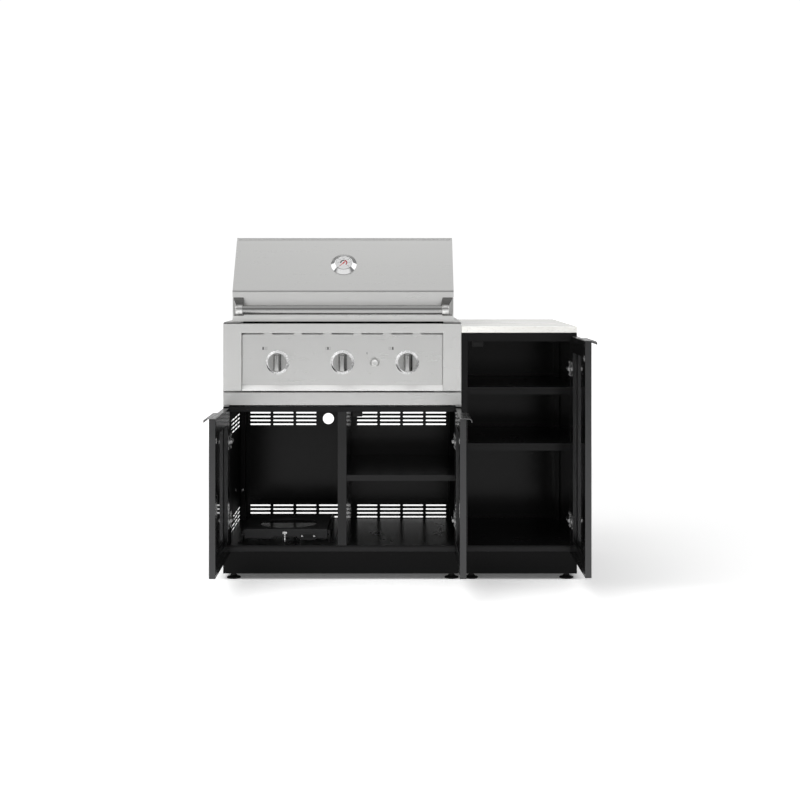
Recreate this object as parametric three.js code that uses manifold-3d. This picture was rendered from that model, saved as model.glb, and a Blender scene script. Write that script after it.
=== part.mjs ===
// Outdoor kitchen island: a 33 in grill cabinet with a drop-in gas grill beside a
// 16 in storage cabinet with a stone top. Millimetres, +Z up, front towards -Y.
// All dimensions below are in the cabinet frame: X from the left face of the grill
// cabinet, Y from the plane of the cabinet fronts towards the back, Z from the floor.
import * as THREE from 'three';
import { mergeVertices } from 'three/addons/utils/BufferGeometryUtils.js';
import { ConvexGeometry } from 'three/addons/geometries/ConvexGeometry.js';
import Module from 'manifold-3d';

const wasm = await Module();
wasm.setup();

// ---------------------------------------------------------------- dimensions
const ORIGIN_X = 623.4;          // cabinet frame to part frame: centre of the footprint
const ORIGIN_Y = 192.3;

const T = 1.5;                   // folded sheet thickness
const GRILL_X0 = 0, GRILL_X1 = 838.0;      // grill cabinet, left and right faces
const STORE_X0 = 838.4, STORE_X1 = 1244.8; // storage cabinet, left and right faces
const DEPTH = 583;               // cabinet depth without the back panel
const BACK_Y0 = 583.3, BACK_Y1 = 584.8;    // back panel sheet
const BASE_Z0 = 21.4, BASE_Z1 = 98.4;      // toe-kick ring
const SIDE_Z0 = 98.8;            // side panels stand on the ring
const FLOOR_Z = 119.9;           // top of the cabinet floors
const GRILL_TOP = 608.9;         // top of the grill cabinet
const STORE_TOP = 867.5;         // top of the storage cabinet
const STILE = 22;                // front stile and rear post width
const STILE_DEEP = 66;           // hinge face of the front post, front to back
const POST_Y = 540;              // front face of the rear post
const RAIL_GRILL = 18.3;         // front rail heights
const RAIL_STORE = 29.2;

const SLOT_L = 79, SLOT_H = 8, SLOT_PITCH = 89.5;   // vent slots
const SLOT_ROWS_HIGH = [532, 517, 502, 487];
const SLOT_ROWS_LOW = [170, 155, 140, 125];
const GAS_HOLE = { x: 342.7, z: 509, r: 21.5 };

const DIVIDER_X0 = 403, DIVIDER_X1 = 434;
const SHELF_GRILL = [347.0, 367.6];        // right bay shelf, lip bottom and top
const SHELF_UPPER = [650.8, 676.8];
const SHELF_LOWER = [452.7, 478.4];
const SHELF_SET_BACK = 9;

const TOP_X0 = 838.6, TOP_X1 = 1245.0, TOP_Y0 = -1, TOP_Y1 = 806;  // stone slab
const TOP_Z0 = 868.2, TOP_Z1 = 890.7;

const FOOT_R = 25;

// doors
const DOOR_T = 21, DOOR_BORDER = 55, DOOR_WALL = 2;
const DOOR_Z0 = 88.7, DOOR_GRILL_TOP = 604.7, DOOR_STORE_TOP = 856.9;
const DOOR_GAP = 3;              // inner face to cabinet front, closed
const PIVOT_IN = 8.2;            // pivot line to the hinge edge
const PIVOT_DEEP = 11;           // pivot line to the inner face
const DOOR_OPEN = 89.8;          // rest position, degrees open
const LEFT_DOOR_X = [4.0, 418.6];
const MIDDLE_DOOR_X = [420.6, 836.2];
const STORE_DOOR_X = [841.2, 1242.8];
const PULL_FROM = 204, PULL_TO = 412;      // pull along the door, from the hinge edge

const HINGE_Z = [207, 485, 741];

// grill
const GRILL_Z0 = 612, STRIP_TOP = 659, RIM_Z = 900.6, SIDE_RIM_Z = 905.0;
const PANEL_X0 = 64.5, PANEL_X1 = 773.7, PANEL_Z0 = 663.5, PANEL_Z1 = 865.4;
const PANEL_DEEP = 18;           // recess of the control panel
const KNOB_X = [190, 419, 648], KNOB_Z = 764, KNOB_R = 32.7, BEZEL_R = 41.4;
const IGNITER_X = 533, IGNITER_R = 12.5;
const BOX_X0 = 60, BOX_X1 = 778, BOX_Y0 = 85, BOX_Y1 = 530;   // firebox
const BOX_Z0 = 698;
const GRATE_Z0 = 862, GRATE_Z1 = 874;
const HOOD_X0 = 24, HOOD_X1 = 814, HOOD_T = 1.5;
const HOOD_PROFILE = [           // outer side profile, Y and Z
  [80, 905.4], [80, 1011], [83, 1018], [226, 1196.4], [236, 1203], [252, 1207],
  [470, 1207], [515, 1194], [545, 1160], [560, 1100], [560, 905.4],
];
const HANDLE_Y = 15, HANDLE_Z = 948, HANDLE_R = 16;
const HANDLE_MID = (HOOD_X0 + HOOD_X1) / 2;

// gas bottle tray
const TRAY = { x0: 70, x1: 364, y0: 50, y1: 366, z0: 136, z1: 170 };
const TRAY_HOLE = { x: 218, y: 166, r: 102 };

// ---------------------------------------------------------------- helpers
function solidOf(geometry) {
  const g0 = geometry.index ? geometry.toNonIndexed() : geometry;
  g0.deleteAttribute('normal');
  g0.deleteAttribute('uv');
  const q = g0.attributes.position.array;
  for (let i = 0; i < q.length; i++) q[i] = Math.round(q[i] * 1000) / 1000;   // equal planes stay equal
  const g = mergeVertices(g0, 1e-4);
  return new wasm.Manifold(new wasm.Mesh({
    numProp: 3,
    vertProperties: new Float32Array(g.attributes.position.array),
    triVerts: new Uint32Array(g.index.array),
  }));
}

// a box between two corners
function box(x0, x1, y0, y1, z0, z1) {
  const g = new THREE.BoxGeometry(x1 - x0, y1 - y0, z1 - z0);
  g.translate((x0 + x1) / 2, (y0 + y1) / 2, (z0 + z1) / 2);
  return solidOf(g);
}

// a flat outline pushed along one axis; points are (x,y) for z, (y,z) for x, (x,z) for y
function prism(axis, points, lo, hi) {
  const flat = axis === 'y' ? points.map(([x, z]) => [z, x]) : points;
  const shape = new THREE.Shape(flat.map(([a, b]) => new THREE.Vector2(a, b)));
  const g = new THREE.ExtrudeGeometry(shape, { depth: hi - lo, bevelEnabled: false, curveSegments: 1 });
  const p = g.attributes.position;
  for (let i = 0; i < p.count; i++) {
    const a = p.getX(i), b = p.getY(i), c = p.getZ(i) + lo;
    if (axis === 'z') p.setXYZ(i, a, b, c);
    else if (axis === 'x') p.setXYZ(i, c, a, b);
    else p.setXYZ(i, b, c, a);
  }
  return solidOf(g);
}

function circle(ca, cb, r, n) {
  const out = [];
  for (let i = 0; i < n; i++) {
    const t = ((i + 0.5) / n) * 2 * Math.PI;
    out.push([ca + r * Math.cos(t), cb + r * Math.sin(t)]);
  }
  return out;
}

const rod = (axis, ca, cb, r, lo, hi, n = 16) => prism(axis, circle(ca, cb, r, n), lo, hi);

// a turned body about the Z axis through the origin; the profile is (radius, z) from axis to axis
function turned(profile, n = 16) {
  const g = new THREE.LatheGeometry(profile.map(([r, z]) => new THREE.Vector2(r, z)), n);
  g.rotateX(Math.PI / 2);
  const s = solidOf(g);
  return s;
}

const join = (...parts) => parts.flat().reduce((a, b) => a.add(b));
const cut = (a, ...parts) => parts.flat().reduce((x, y) => x.subtract(y), a);

function geometryOf(s) {
  const m = s.getMesh();
  const g = new THREE.BufferGeometry();
  g.setAttribute('position', new THREE.BufferAttribute(new Float32Array(m.vertProperties), 3));
  g.setIndex(new THREE.BufferAttribute(new Uint32Array(m.triVerts), 1));
  g.computeVertexNormals();
  return g;
}

const material = {
  powder: new THREE.MeshStandardMaterial({ color: 0x1c1c1d, roughness: 0.45, metalness: 0.1 }),
  steel: new THREE.MeshStandardMaterial({ color: 0xc4c4c2, roughness: 0.32, metalness: 1 }),
  chrome: new THREE.MeshStandardMaterial({ color: 0xd8d8d8, roughness: 0.1, metalness: 1 }),
  alu: new THREE.MeshStandardMaterial({ color: 0x5a5b5c, roughness: 0.4, metalness: 0.8 }),
  glass: new THREE.MeshStandardMaterial({ color: 0x0b0b0c, roughness: 0.08, metalness: 0 }),
  stone: new THREE.MeshStandardMaterial({ color: 0xe2e2dc, roughness: 0.35, metalness: 0 }),
  rubber: new THREE.MeshStandardMaterial({ color: 0x0a0a0a, roughness: 0.7, metalness: 0 }),
  iron: new THREE.MeshStandardMaterial({ color: 0x1a1a1a, roughness: 0.6, metalness: 0.6 }),
  dial: new THREE.MeshStandardMaterial({ color: 0xf2f2f2, roughness: 0.3, metalness: 0.2 }),
};

const island = new THREE.Group();
island.position.set(-ORIGIN_X, -ORIGIN_Y, 0);

function add(name, solid, mat, parent = island) {
  const mesh = new THREE.Mesh(geometryOf(solid), mat);
  mesh.name = name;
  parent.add(mesh);
  return mesh;
}

// ---------------------------------------------------------------- cabinets
// A side panel is one folded sheet: outer skin, front stile with a deep hinge return,
// rear flange and a rear post. xo is the outer face, s is +1 when the inside is at +X.
function sidePanel(xo, s, z1, slotted) {
  const outline = [
    [0, 0], [STILE, 0], [STILE, STILE_DEEP], [STILE - T, STILE_DEEP], [STILE - T, T], [T, T], [T, DEPTH - T],
    [STILE - T, DEPTH - T], [STILE - T, POST_Y + T], [T + 2, POST_Y + T], [T + 2, POST_Y], [STILE, POST_Y], [STILE, DEPTH], [0, DEPTH],
  ].map(([o, y]) => [xo + s * o, y]);
  let p = prism('z', outline, SIDE_Z0, z1);
  if (slotted) {
    for (let k = 0; k < 5; k++) {
      const y = 100 + k * SLOT_PITCH, a = xo - s, b = xo + s * (T + 1);
      for (const z of [...SLOT_ROWS_HIGH, ...SLOT_ROWS_LOW]) {
        p = p.subtract(box(Math.min(a, b), Math.max(a, b), y, y + SLOT_L, z - SLOT_H / 2, z + SLOT_H / 2));
      }
    }
  }
  return p;
}

add('grill_cab_left_side', sidePanel(GRILL_X0, 1, GRILL_TOP, true), material.powder);
add('grill_cab_right_side', sidePanel(GRILL_X1, -1, GRILL_TOP, true), material.powder);
add('storage_cab_left_side', sidePanel(STORE_X0, 1, STORE_TOP, false), material.powder);
add('storage_cab_right_side', sidePanel(STORE_X1, -1, STORE_TOP, false), material.powder);

{ // vented back panel of the grill cabinet
  const holes = [];
  const slots = (x, rows) => {
    for (const z of rows) holes.push(box(x, x + SLOT_L, BACK_Y0 - 1, BACK_Y1 + 1, z - SLOT_H / 2, z + SLOT_H / 2));
  };
  for (let k = 0; k < 4; k++) {
    if (k < 3) slots(37.5 + k * SLOT_PITCH, SLOT_ROWS_HIGH);
    slots(37.5 + k * SLOT_PITCH, SLOT_ROWS_LOW);
    slots(455 + k * SLOT_PITCH, SLOT_ROWS_HIGH);
    slots(455 + k * SLOT_PITCH, SLOT_ROWS_LOW);
  }
  holes.push(rod('y', GAS_HOLE.x, GAS_HOLE.z, GAS_HOLE.r, BACK_Y0 - 1, BACK_Y1 + 1, 20));
  const back = box(GRILL_X0 + 1, GRILL_X1 - 1, BACK_Y0, BACK_Y1, BASE_Z0, GRILL_TOP);
  add('grill_cab_back', cut(back, holes), material.powder);
}
add('storage_cab_back', box(STORE_X0 + 1, STORE_X1 - 1, BACK_Y0, BACK_Y1, BASE_Z0, STORE_TOP), material.powder);

// A horizontal sheet reaches past the posts to the skins between POST_Y and STILE_DEEP:
// these thin wings are welded to the pan's side walls. side 0 is left, 1 is right.
function wing(x0, x1, side, z) {
  const a = STILE_DEEP + 0.4, b = POST_Y - 0.4;
  return side === 0
    ? box(x0 + T + 0.3, x0 + STILE + 0.3 + 0.8, a, b, z - T - 0.2, z - 0.2)
    : box(x1 - STILE - 0.3 - 0.8, x1 - T - 0.3, a, b, z - T - 0.2, z - 0.2);
}

// floor pan and toe-kick ring, one welded piece
function basePan(x0, x1) {
  const xi0 = x0 + STILE + 0.3, xi1 = x1 - STILE - 0.3, y1 = DEPTH - T - 0.3;
  let p = join(
    box(x0, x1, 0, DEPTH, BASE_Z0, BASE_Z1),
    box(xi0, xi1, 0.25, y1, BASE_Z0 + 30, FLOOR_Z),
  );
  p = cut(p,
    box(x0 + T, x1 - T, T, DEPTH - T, BASE_Z0 - 1, BASE_Z1 - T),
    box(x0 + 25, x1 - 25, 2.5, y1 - 3, BASE_Z0 - 2, FLOOR_Z - T),
    box(x0 + STILE + 0.1, x1 - STILE - 0.1, -1, 1, BASE_Z1 - 0.3, BASE_Z1 + 0.4),      // seam under the lip
  );
  for (const gx of [x0 + 0.7, x1 - 64.7]) {
    for (const gy of [0.7, DEPTH - 64.7]) p = p.add(box(gx, gx + 64, gy, gy + 64, BASE_Z0 + 0.2, BASE_Z0 + 3.2));
  }
  return join(p, wing(x0, x1, 0, FLOOR_Z), wing(x0, x1, 1, FLOOR_Z));
}
add('grill_cab_base', basePan(GRILL_X0, GRILL_X1), material.powder);
add('storage_cab_base', basePan(STORE_X0, STORE_X1), material.powder);

// top frame: front rail, rear rail and a flat ring that carries what stands on it
function topFrame(x0, x1, top, rail) {
  const xi0 = x0 + STILE + 0.3, xi1 = x1 - STILE - 0.3, y1 = DEPTH - T - 0.3, z0 = top - rail;
  const hollow = prism('x', [[T, z0 + T], [T, top - T], [y1 - T, top - T], [y1 - T, z0 - 1], [16, z0 - 1], [16, z0 + T]], xi0 + T, xi1 - T);
  return join(
    cut(box(xi0, xi1, 0, y1, z0, top), hollow, box(xi0 + 30, xi1 - 30, 60, y1 - 60, top - 6, top + 1)),
    wing(x0, x1, 0, top), wing(x0, x1, 1, top),
  );
}
add('grill_cab_top_frame', topFrame(GRILL_X0, GRILL_X1, GRILL_TOP, RAIL_GRILL), material.powder);
add('storage_cab_top_frame', topFrame(STORE_X0, STORE_X1, STORE_TOP, RAIL_STORE), material.powder);

{ // centre divider: a channel with a closed front, open to the back
  const z0 = FLOOR_Z + 0.3, z1 = GRILL_TOP - RAIL_GRILL - 0.3, y1 = DEPTH - 2 * T - 0.6;
  add('grill_cab_divider', prism('z', [
    [DIVIDER_X0, 0], [DIVIDER_X1, 0], [DIVIDER_X1, y1], [DIVIDER_X1 - T, y1], [DIVIDER_X1 - T, T],
    [DIVIDER_X0 + T, T], [DIVIDER_X0 + T, y1], [DIVIDER_X0, y1],
  ], z0, z1), material.powder);
}

// a shelf is a folded pan, open underneath; wings: which sides reach past the posts
function shelf(x0, x1, wings, cab0, cab1, z0, z1, yFront) {
  const y1 = DEPTH - 2 * T - 0.6;
  const hollow = prism('x', [
    [yFront + T, z0 + T], [yFront + T, z1 - T], [y1 - T, z1 - T], [y1 - T, z0 - 1], [yFront + 14, z0 - 1], [yFront + 14, z0 + T],
  ], x0 + T, x1 - T);
  return join(cut(box(x0, x1, yFront, y1, z0, z1), hollow), wings.map((w) => wing(cab0, cab1, w, z1)));
}
add('grill_cab_shelf', shelf(DIVIDER_X1 + 0.3, GRILL_X1 - STILE - 0.3, [1], GRILL_X0, GRILL_X1,
  SHELF_GRILL[0], SHELF_GRILL[1], 1), material.powder);
add('storage_cab_shelf_upper', shelf(STORE_X0 + STILE + 0.3, STORE_X1 - STILE - 0.3, [0, 1], STORE_X0, STORE_X1,
  SHELF_UPPER[0], SHELF_UPPER[1], SHELF_SET_BACK), material.powder);
add('storage_cab_shelf_lower', shelf(STORE_X0 + STILE + 0.3, STORE_X1 - STILE - 0.3, [0, 1], STORE_X0, STORE_X1,
  SHELF_LOWER[0], SHELF_LOWER[1], SHELF_SET_BACK), material.powder);

// levelling feet: moulded pad, cone and hexagon jack nut under the base ring
{
  const foot = turned([[0, 0], [FOOT_R, 0], [FOOT_R, 5], [12, 12], [9, 12], [9, BASE_Z0 - 0.3], [0, BASE_Z0 - 0.3]], 16);
  const feet = {
    grill_foot_front_left: [34, 34], grill_foot_front_right: [804.5, 34],
    grill_foot_rear_left: [34, 549], grill_foot_rear_right: [804.5, 549],
    storage_foot_front_left: [874, 34], storage_foot_front_right: [1211, 34],
    storage_foot_rear_left: [874, 549], storage_foot_rear_right: [1211, 549],
  };
  for (const [name, [x, y]] of Object.entries(feet)) {
    const m = add(name, foot, material.rubber);
    m.position.set(x, y, 0);
  }
}

// fixed halves of the concealed hinges, screwed to the front posts
function hingeArm(xFace, s, z) {
  const bx = (o0, o1, y0, y1, h) => {
    const a = xFace + s * o0, b = xFace + s * o1;
    return box(Math.min(a, b), Math.max(a, b), y0, y1, z - h, z + h);
  };
  return join(
    bx(0.3, 2.3, 14, 62, 28),
    bx(2.3 - 0.2, 7, 4, 60, 8.5),
    bx(7 - 0.2, 11, -2, 52, 7),
  );
}
add('left_door_hinge_lower', hingeArm(GRILL_X0 + STILE, 1, HINGE_Z[0]), material.steel);
add('left_door_hinge_upper', hingeArm(GRILL_X0 + STILE, 1, HINGE_Z[1]), material.steel);
add('middle_door_hinge_lower', hingeArm(GRILL_X1 - STILE, -1, HINGE_Z[0]), material.steel);
add('middle_door_hinge_upper', hingeArm(GRILL_X1 - STILE, -1, HINGE_Z[1]), material.steel);
add('storage_door_hinge_lower', hingeArm(STORE_X1 - STILE, -1, HINGE_Z[0]), material.steel);
add('storage_door_hinge_upper', hingeArm(STORE_X1 - STILE, -1, HINGE_Z[2]), material.steel);

// ---------------------------------------------------------------- doors
// Drawn closed in a local frame whose origin is the pivot line: local +x runs from the
// hinge edge to the free end, local +y towards the cabinet. s = -1 mirrors the door.
function door(prefix, hingeX, s, width, top, openSign) {
  const group = new THREE.Group();
  group.position.set(hingeX + s * PIVOT_IN, -DOOR_GAP - PIVOT_DEEP, 0);
  group.rotation.z = THREE.MathUtils.degToRad(openSign * DOOR_OPEN);
  island.add(group);
  const X = (a, b) => { const p = s * (a - PIVOT_IN), q = s * (b - PIVOT_IN); return [Math.min(p, q), Math.max(p, q)]; };
  const Yi = PIVOT_DEEP, Yo = PIVOT_DEEP - DOOR_T;   // inner and outer face
  const B = DOOR_BORDER, w = DOOR_WALL;
  const ring = cut(
    box(...X(0, width), Yo, Yi, DOOR_Z0, top),
    box(...X(B, width - B), Yo - 1, Yi + 1, DOOR_Z0 + B, top - B),
  );
  // hollow of the frame section, open to the middle only through the glass slot
  const hollow = cut(
    box(...X(w, width - w), Yo + w, Yi - w, DOOR_Z0 + w, top - w),
    box(...X(B - w, width - B + w), Yo - 1, Yi + 1, DOOR_Z0 + B - w, top - B + w),
  );
  const slot = box(...X(B - 12, width - B + 12), Yo + w + 0.2, Yo + w + 5, DOOR_Z0 + B - 12, top - B + 12);
  add(prefix + '_frame', cut(ring, hollow, slot), material.alu, group);
  add(prefix + '_glass', box(...X(B - 10, width - B + 10), Yo + w + 0.6, Yo + w + 4.6, DOOR_Z0 + B - 10, top - B + 10), material.glass, group);
  // edge pull: a strip on the top edge that rolls over the outer face
  const z = top + 0.3;
  const strip = [[Yi, z], [Yi, z + 2], [Yo - 8, z + 2], [Yo - 14, z + 0.6], [Yo - 18, z - 4], [Yo - 19, z - 11],
    [Yo - 17.2, z - 11], [Yo - 16.3, z - 4.6], [Yo - 13, z - 1.2], [Yo - 8, z]];
  const [h0, h1] = X(PULL_FROM, Math.min(PULL_TO, width - 3));
  add(prefix + '_handle', prism('x', strip, h0, h1), material.alu, group);
}
door('left_door', LEFT_DOOR_X[0], 1, LEFT_DOOR_X[1] - LEFT_DOOR_X[0], DOOR_GRILL_TOP, -1);
door('middle_door', MIDDLE_DOOR_X[1], -1, MIDDLE_DOOR_X[1] - MIDDLE_DOOR_X[0], DOOR_GRILL_TOP, 1);
door('storage_door', STORE_DOOR_X[1], -1, STORE_DOOR_X[1] - STORE_DOOR_X[0], DOOR_STORE_TOP, 1);

// ---------------------------------------------------------------- gas bottle tray
{
  const { x0, x1, y0, y1, z0, z1 } = TRAY;
  add('tank_tray', cut(box(x0, x1, y0, y1, z0, z1),
    box(x0 + T, x1 - T, y0 + T, y1 - T, z0 - 1, z1 - T),
    box(x0 + 4, x1 - 4, y1 - 4, y1 + 1, z0 - 2, z1 - 16),
    rod('z', TRAY_HOLE.x, TRAY_HOLE.y, TRAY_HOLE.r, z1 - 4, z1 + 1, 32)), material.powder);
  // fixed slide rails: a folded bracket on the floor with the slide along the tray's side
  const zf = FLOOR_Z + 0.3;
  const rail = (xo, s) => prism('y', [[0, zf], [18, zf], [18, 150], [25.4, 150], [25.4, 164], [16, 164], [16, zf + 2], [0, zf + 2]]
    .map(([o, z]) => [xo + s * o, z]), 60, 420);
  add('tray_rail_left', rail(x0 - 26, 1), material.powder);
  add('tray_rail_right', rail(x1 + 26, -1), material.powder);
  // thumb latch on the tray front
  add('tray_latch', join(
    rod('y', 213.3, 158, 7, y0 - 7, y0 - 0.4, 12),
    box(210.3, 216.3, y0 - 5.5, y0 - 3, 130, 158),
    rod('y', 213.3, 130, 5, y0 - 6, y0 - 2.5, 10),
  ), material.chrome);
}

// ---------------------------------------------------------------- stone top
add('countertop', prism('y', [
  [TOP_X0, TOP_Z0], [TOP_X1, TOP_Z0], [TOP_X1, TOP_Z1], [TOP_X0, TOP_Z1],
], TOP_Y0, TOP_Y1), material.stone);

// ---------------------------------------------------------------- grill
{ // cowling and firebox: side and rear walls, rims, hanging firebox with a ledge for the grates
  const x0 = GRILL_X0, x1 = GRILL_X1, y0 = 2.4, y1 = DEPTH, zb = GRILL_Z0 - 2.8;
  const around = box(x0 + T, x1 - T, y0 - 5, y1 - T, GRILL_Z0 + 0.4, SIDE_RIM_Z - T)
    .subtract(box(BOX_X0, BOX_X1, BOX_Y0, BOX_Y1, BOX_Z0, SIDE_RIM_Z + 5));
  let p = cut(box(x0, x1, y0, y1, zb, SIDE_RIM_Z),
    around,
    box(x0 + 20, x1 - 20, y0 - 6, y1 - 20, zb - 1, GRILL_Z0 + 3),
    box(BOX_X0 + T, BOX_X1 - T, BOX_Y0 + T, BOX_Y1 - T, BOX_Z0 + T, SIDE_RIM_Z + 6),
    box(BOX_X0 + 0.7, BOX_X1 - 0.7, y0 - 7, BOX_Y0 + 3, 897, SIDE_RIM_Z + 7),
    box(x0 - 1, x1 + 1, y0 - 8, 14, 901.2, SIDE_RIM_Z + 8),
    box(200, 640, 230, 380, BOX_Z0 - 3, BOX_Z0 + 5),
  );
  const ledge = cut(box(BOX_X0 + 0.6, BOX_X1 - 0.6, BOX_Y0 + 0.6, BOX_Y1 - 0.6, GRATE_Z0 - 2.3, GRATE_Z0 - 0.3),
    box(BOX_X0 + 14, BOX_X1 - 14, BOX_Y0 + 14, BOX_Y1 - 14, GRATE_Z0 - 4, GRATE_Z0 + 1));
  const trough = box(x0 + 0.8, x1 - 0.8, 22, BOX_Y0 + 0.8, 880, 880 + T);
  add('grill_body', join(p, ledge, trough), material.steel);
}

{ // control fascia: frame, recessed panel with a sloping lower lip, vent slots, shaft holes
  const x0 = GRILL_X0, x1 = GRILL_X1, f = 2, d = PANEL_DEEP;
  const housing = prism('x', [[1, PANEL_Z0 - 1.9], [d + f, PANEL_Z0 + 17.6], [d + f, PANEL_Z1 + 5], [1, PANEL_Z1 + 5]], PANEL_X0 - f, PANEL_X1 + f);
  const recess = prism('x', [[-1, PANEL_Z0 - 1], [d, PANEL_Z0 + 18.5], [d, PANEL_Z1 + 3], [f, PANEL_Z1 + 3], [f, PANEL_Z1], [-1, PANEL_Z1]], PANEL_X0, PANEL_X1);
  let p = join(
    box(x0, x1, 0, f, STRIP_TOP + 1.5, RIM_Z),
    box(x0 + 2.1, x1 - 2.1, 1, 12, RIM_Z - f - 0.1, RIM_Z - 0.1),
    housing,
  );
  p = cut(p, recess, KNOB_X.map((x) => rod('y', x, KNOB_Z, 8, d - 1, d + f + 1, 12)),
    rod('y', IGNITER_X, KNOB_Z, 7, d - 1, d + f + 1, 12),
    [104, 210, 315, 419.5, 524, 629, 735].map((x) => box(x - 37.5, x + 37.5, d - 1, d + f + 1, 860.5, PANEL_Z1 + 1)));
  add('control_fascia', p, material.steel);
}

// drip tray: full-width front strip with a shallow pan behind it
add('drip_tray', join(
  box(GRILL_X0, GRILL_X1, 0, T, GRILL_Z0, STRIP_TOP),
  box(GRILL_X0 + 2, GRILL_X1 - 2, 0.7, 14, STRIP_TOP - T - 0.2, STRIP_TOP - 0.2),
  cut(box(90, 748, 0.8, 470, 626, 650), box(90 + T, 748 - T, 3, 470 - T, 626 + T, 651)),
), material.steel);

// burner controls
KNOB_X.forEach((x, i) => {
  const tag = ['left', 'centre', 'right'][i];
  const yPanel = PANEL_DEEP - 0.3;
  const bezel = cut(
    turned([[0, 0], [BEZEL_R, 0], [BEZEL_R, 3], [BEZEL_R - 5, 8], [0, 8]], 28),
    rod('z', 0, 0, 9, -1, 9, 14),
  );
  const b = add(`knob_bezel_${tag}`, bezel, material.chrome);
  b.position.set(x, yPanel, KNOB_Z);
  b.rotation.x = Math.PI / 2;
  // knob: turned body, cut away at both sides of a raised grip bar, with its shaft
  const body = turned([[0, 0], [KNOB_R, 0], [KNOB_R, 14], [KNOB_R - 4, 20], [0, 20]], 24);
  const grip = box(-7, 7, -KNOB_R + 1.5, KNOB_R - 1.5, 19.8, 33);
  const shaft = rod('z', 0, 0, 6, -22, 0.2, 12);
  const k = add(`knob_${tag}`, join(body, grip, shaft), material.steel);
  k.position.set(x, yPanel - 8.3, KNOB_Z);
  k.rotation.x = Math.PI / 2;
});
{
  const cap = join(
    turned([[0, 0], [IGNITER_R, 0], [IGNITER_R, 5.5], [IGNITER_R - 2, 7.5], [0, 7.5]], 20),
    rod('z', 0, 0, 5, -26, 0.2, 12),
  );
  const m = add('igniter_button', cap, material.chrome);
  m.position.set(IGNITER_X, PANEL_DEEP - 6, KNOB_Z);
  m.rotation.x = Math.PI / 2;
}

// burners: closed-end tubes with a raised port ridge, on the floor of the firebox
KNOB_X.forEach((x, i) => {
  const outline = [[x - 24, 768], [x + 24, 768], [x + 24, 780], [x + 8, 794], [x - 8, 794], [x - 24, 780]];
  const foot = box(x - 12, x + 12, 480, 500, BOX_Z0 + T + 0.3, 769);
  const foot2 = box(x - 12, x + 12, 110, 130, BOX_Z0 + T + 0.3, 769);
  add(`burner_${['left', 'centre', 'right'][i]}`, join(prism('y', outline, 100, 512), foot, foot2), material.steel);
});

// cooking grates: a cast frame with long bars
function grate(xa, xb) {
  const y0 = BOX_Y0 + T + 1, y1 = BOX_Y1 - T - 1;
  const n = 13, bar = 11;
  const pitch = (xb - xa - bar) / (n - 1);
  let p = box(xa, xb, y0, y1, GRATE_Z0, GRATE_Z1);
  for (let i = 0; i < n - 1; i++) {
    const a = Math.round((xa + i * pitch + bar) * 10) / 10;
    p = p.subtract(box(a, a + Math.round((pitch - bar) * 10) / 10, y0 + 12, y1 - 12, GRATE_Z0 - 1, GRATE_Z1 + 1));
  }
  return p;
}
add('grate_left', grate(BOX_X0 + T + 1, 418.2), material.iron);
add('grate_right', grate(419.8, BOX_X1 - T - 1), material.iron);

// ---------------------------------------------------------------- hood
{
  const inner = [
    [81.5, 900], [81.5, 1010.5], [84.3, 1017], [227, 1195], [236.7, 1201.7], [252.2, 1205.5],
    [469.7, 1205.5], [514.2, 1192.7], [543.6, 1159.5], [558.5, 1099.8], [558.5, 900],
  ];
  add('hood', cut(prism('x', HOOD_PROFILE, HOOD_X0, HOOD_X1), prism('x', inner, HOOD_X0 + HOOD_T, HOOD_X1 - HOOD_T)), material.steel);

  // brackets narrow and lean inwards from the hood band to the bar; side -1 is left, 1 is right
  const bracket = (side) => {
    const at = (x, y, z) => new THREE.Vector3(HANDLE_MID + side * (HANDLE_MID - x), y, z);
    const pts = [];
    for (const [x, z] of [[27, 925], [64, 925], [64, 992], [27, 992]]) pts.push(at(x, 79.7, z));
    for (const [x, z] of [[45.5, 937], [74, 937], [74, 961], [45.5, 961]]) pts.push(at(x, HANDLE_Y + 1, z));
    return solidOf(new ConvexGeometry(pts));
  };
  add('hood_handle', join(
    rod('x', HANDLE_Y, HANDLE_Z, HANDLE_R, 46, 792, 18),
    rod('x', HANDLE_Y, HANDLE_Z, HANDLE_R + 3, 43, 68, 18),
    rod('x', HANDLE_Y, HANDLE_Z, HANDLE_R + 3, 770, 795, 18),
    bracket(-1), bracket(1),
  ), material.steel);

  const slope = Math.atan2(1196.4 - 1018, 226 - 83);     // rise of the hood front
  const gauge = turned([[0, 0], [42, 0], [45, 3], [45, 9], [40, 13], [0, 13]], 28);
  const g = add('hood_thermometer', gauge, material.dial);
  const n = new THREE.Vector3(0, -Math.sin(slope), Math.cos(slope));
  const z = 1109, y = 83 + (z - 1018) / Math.tan(slope);
  g.position.set(419, y, z).addScaledVector(n, 0.3);
  g.rotation.x = slope;
}

export default island;
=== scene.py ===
# Outdoor kitchen island: looks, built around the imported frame. Metres, +Z up, front towards -Y.
import math

import bmesh
import bpy
import numpy as np
from mathutils import Matrix, Vector


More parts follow.
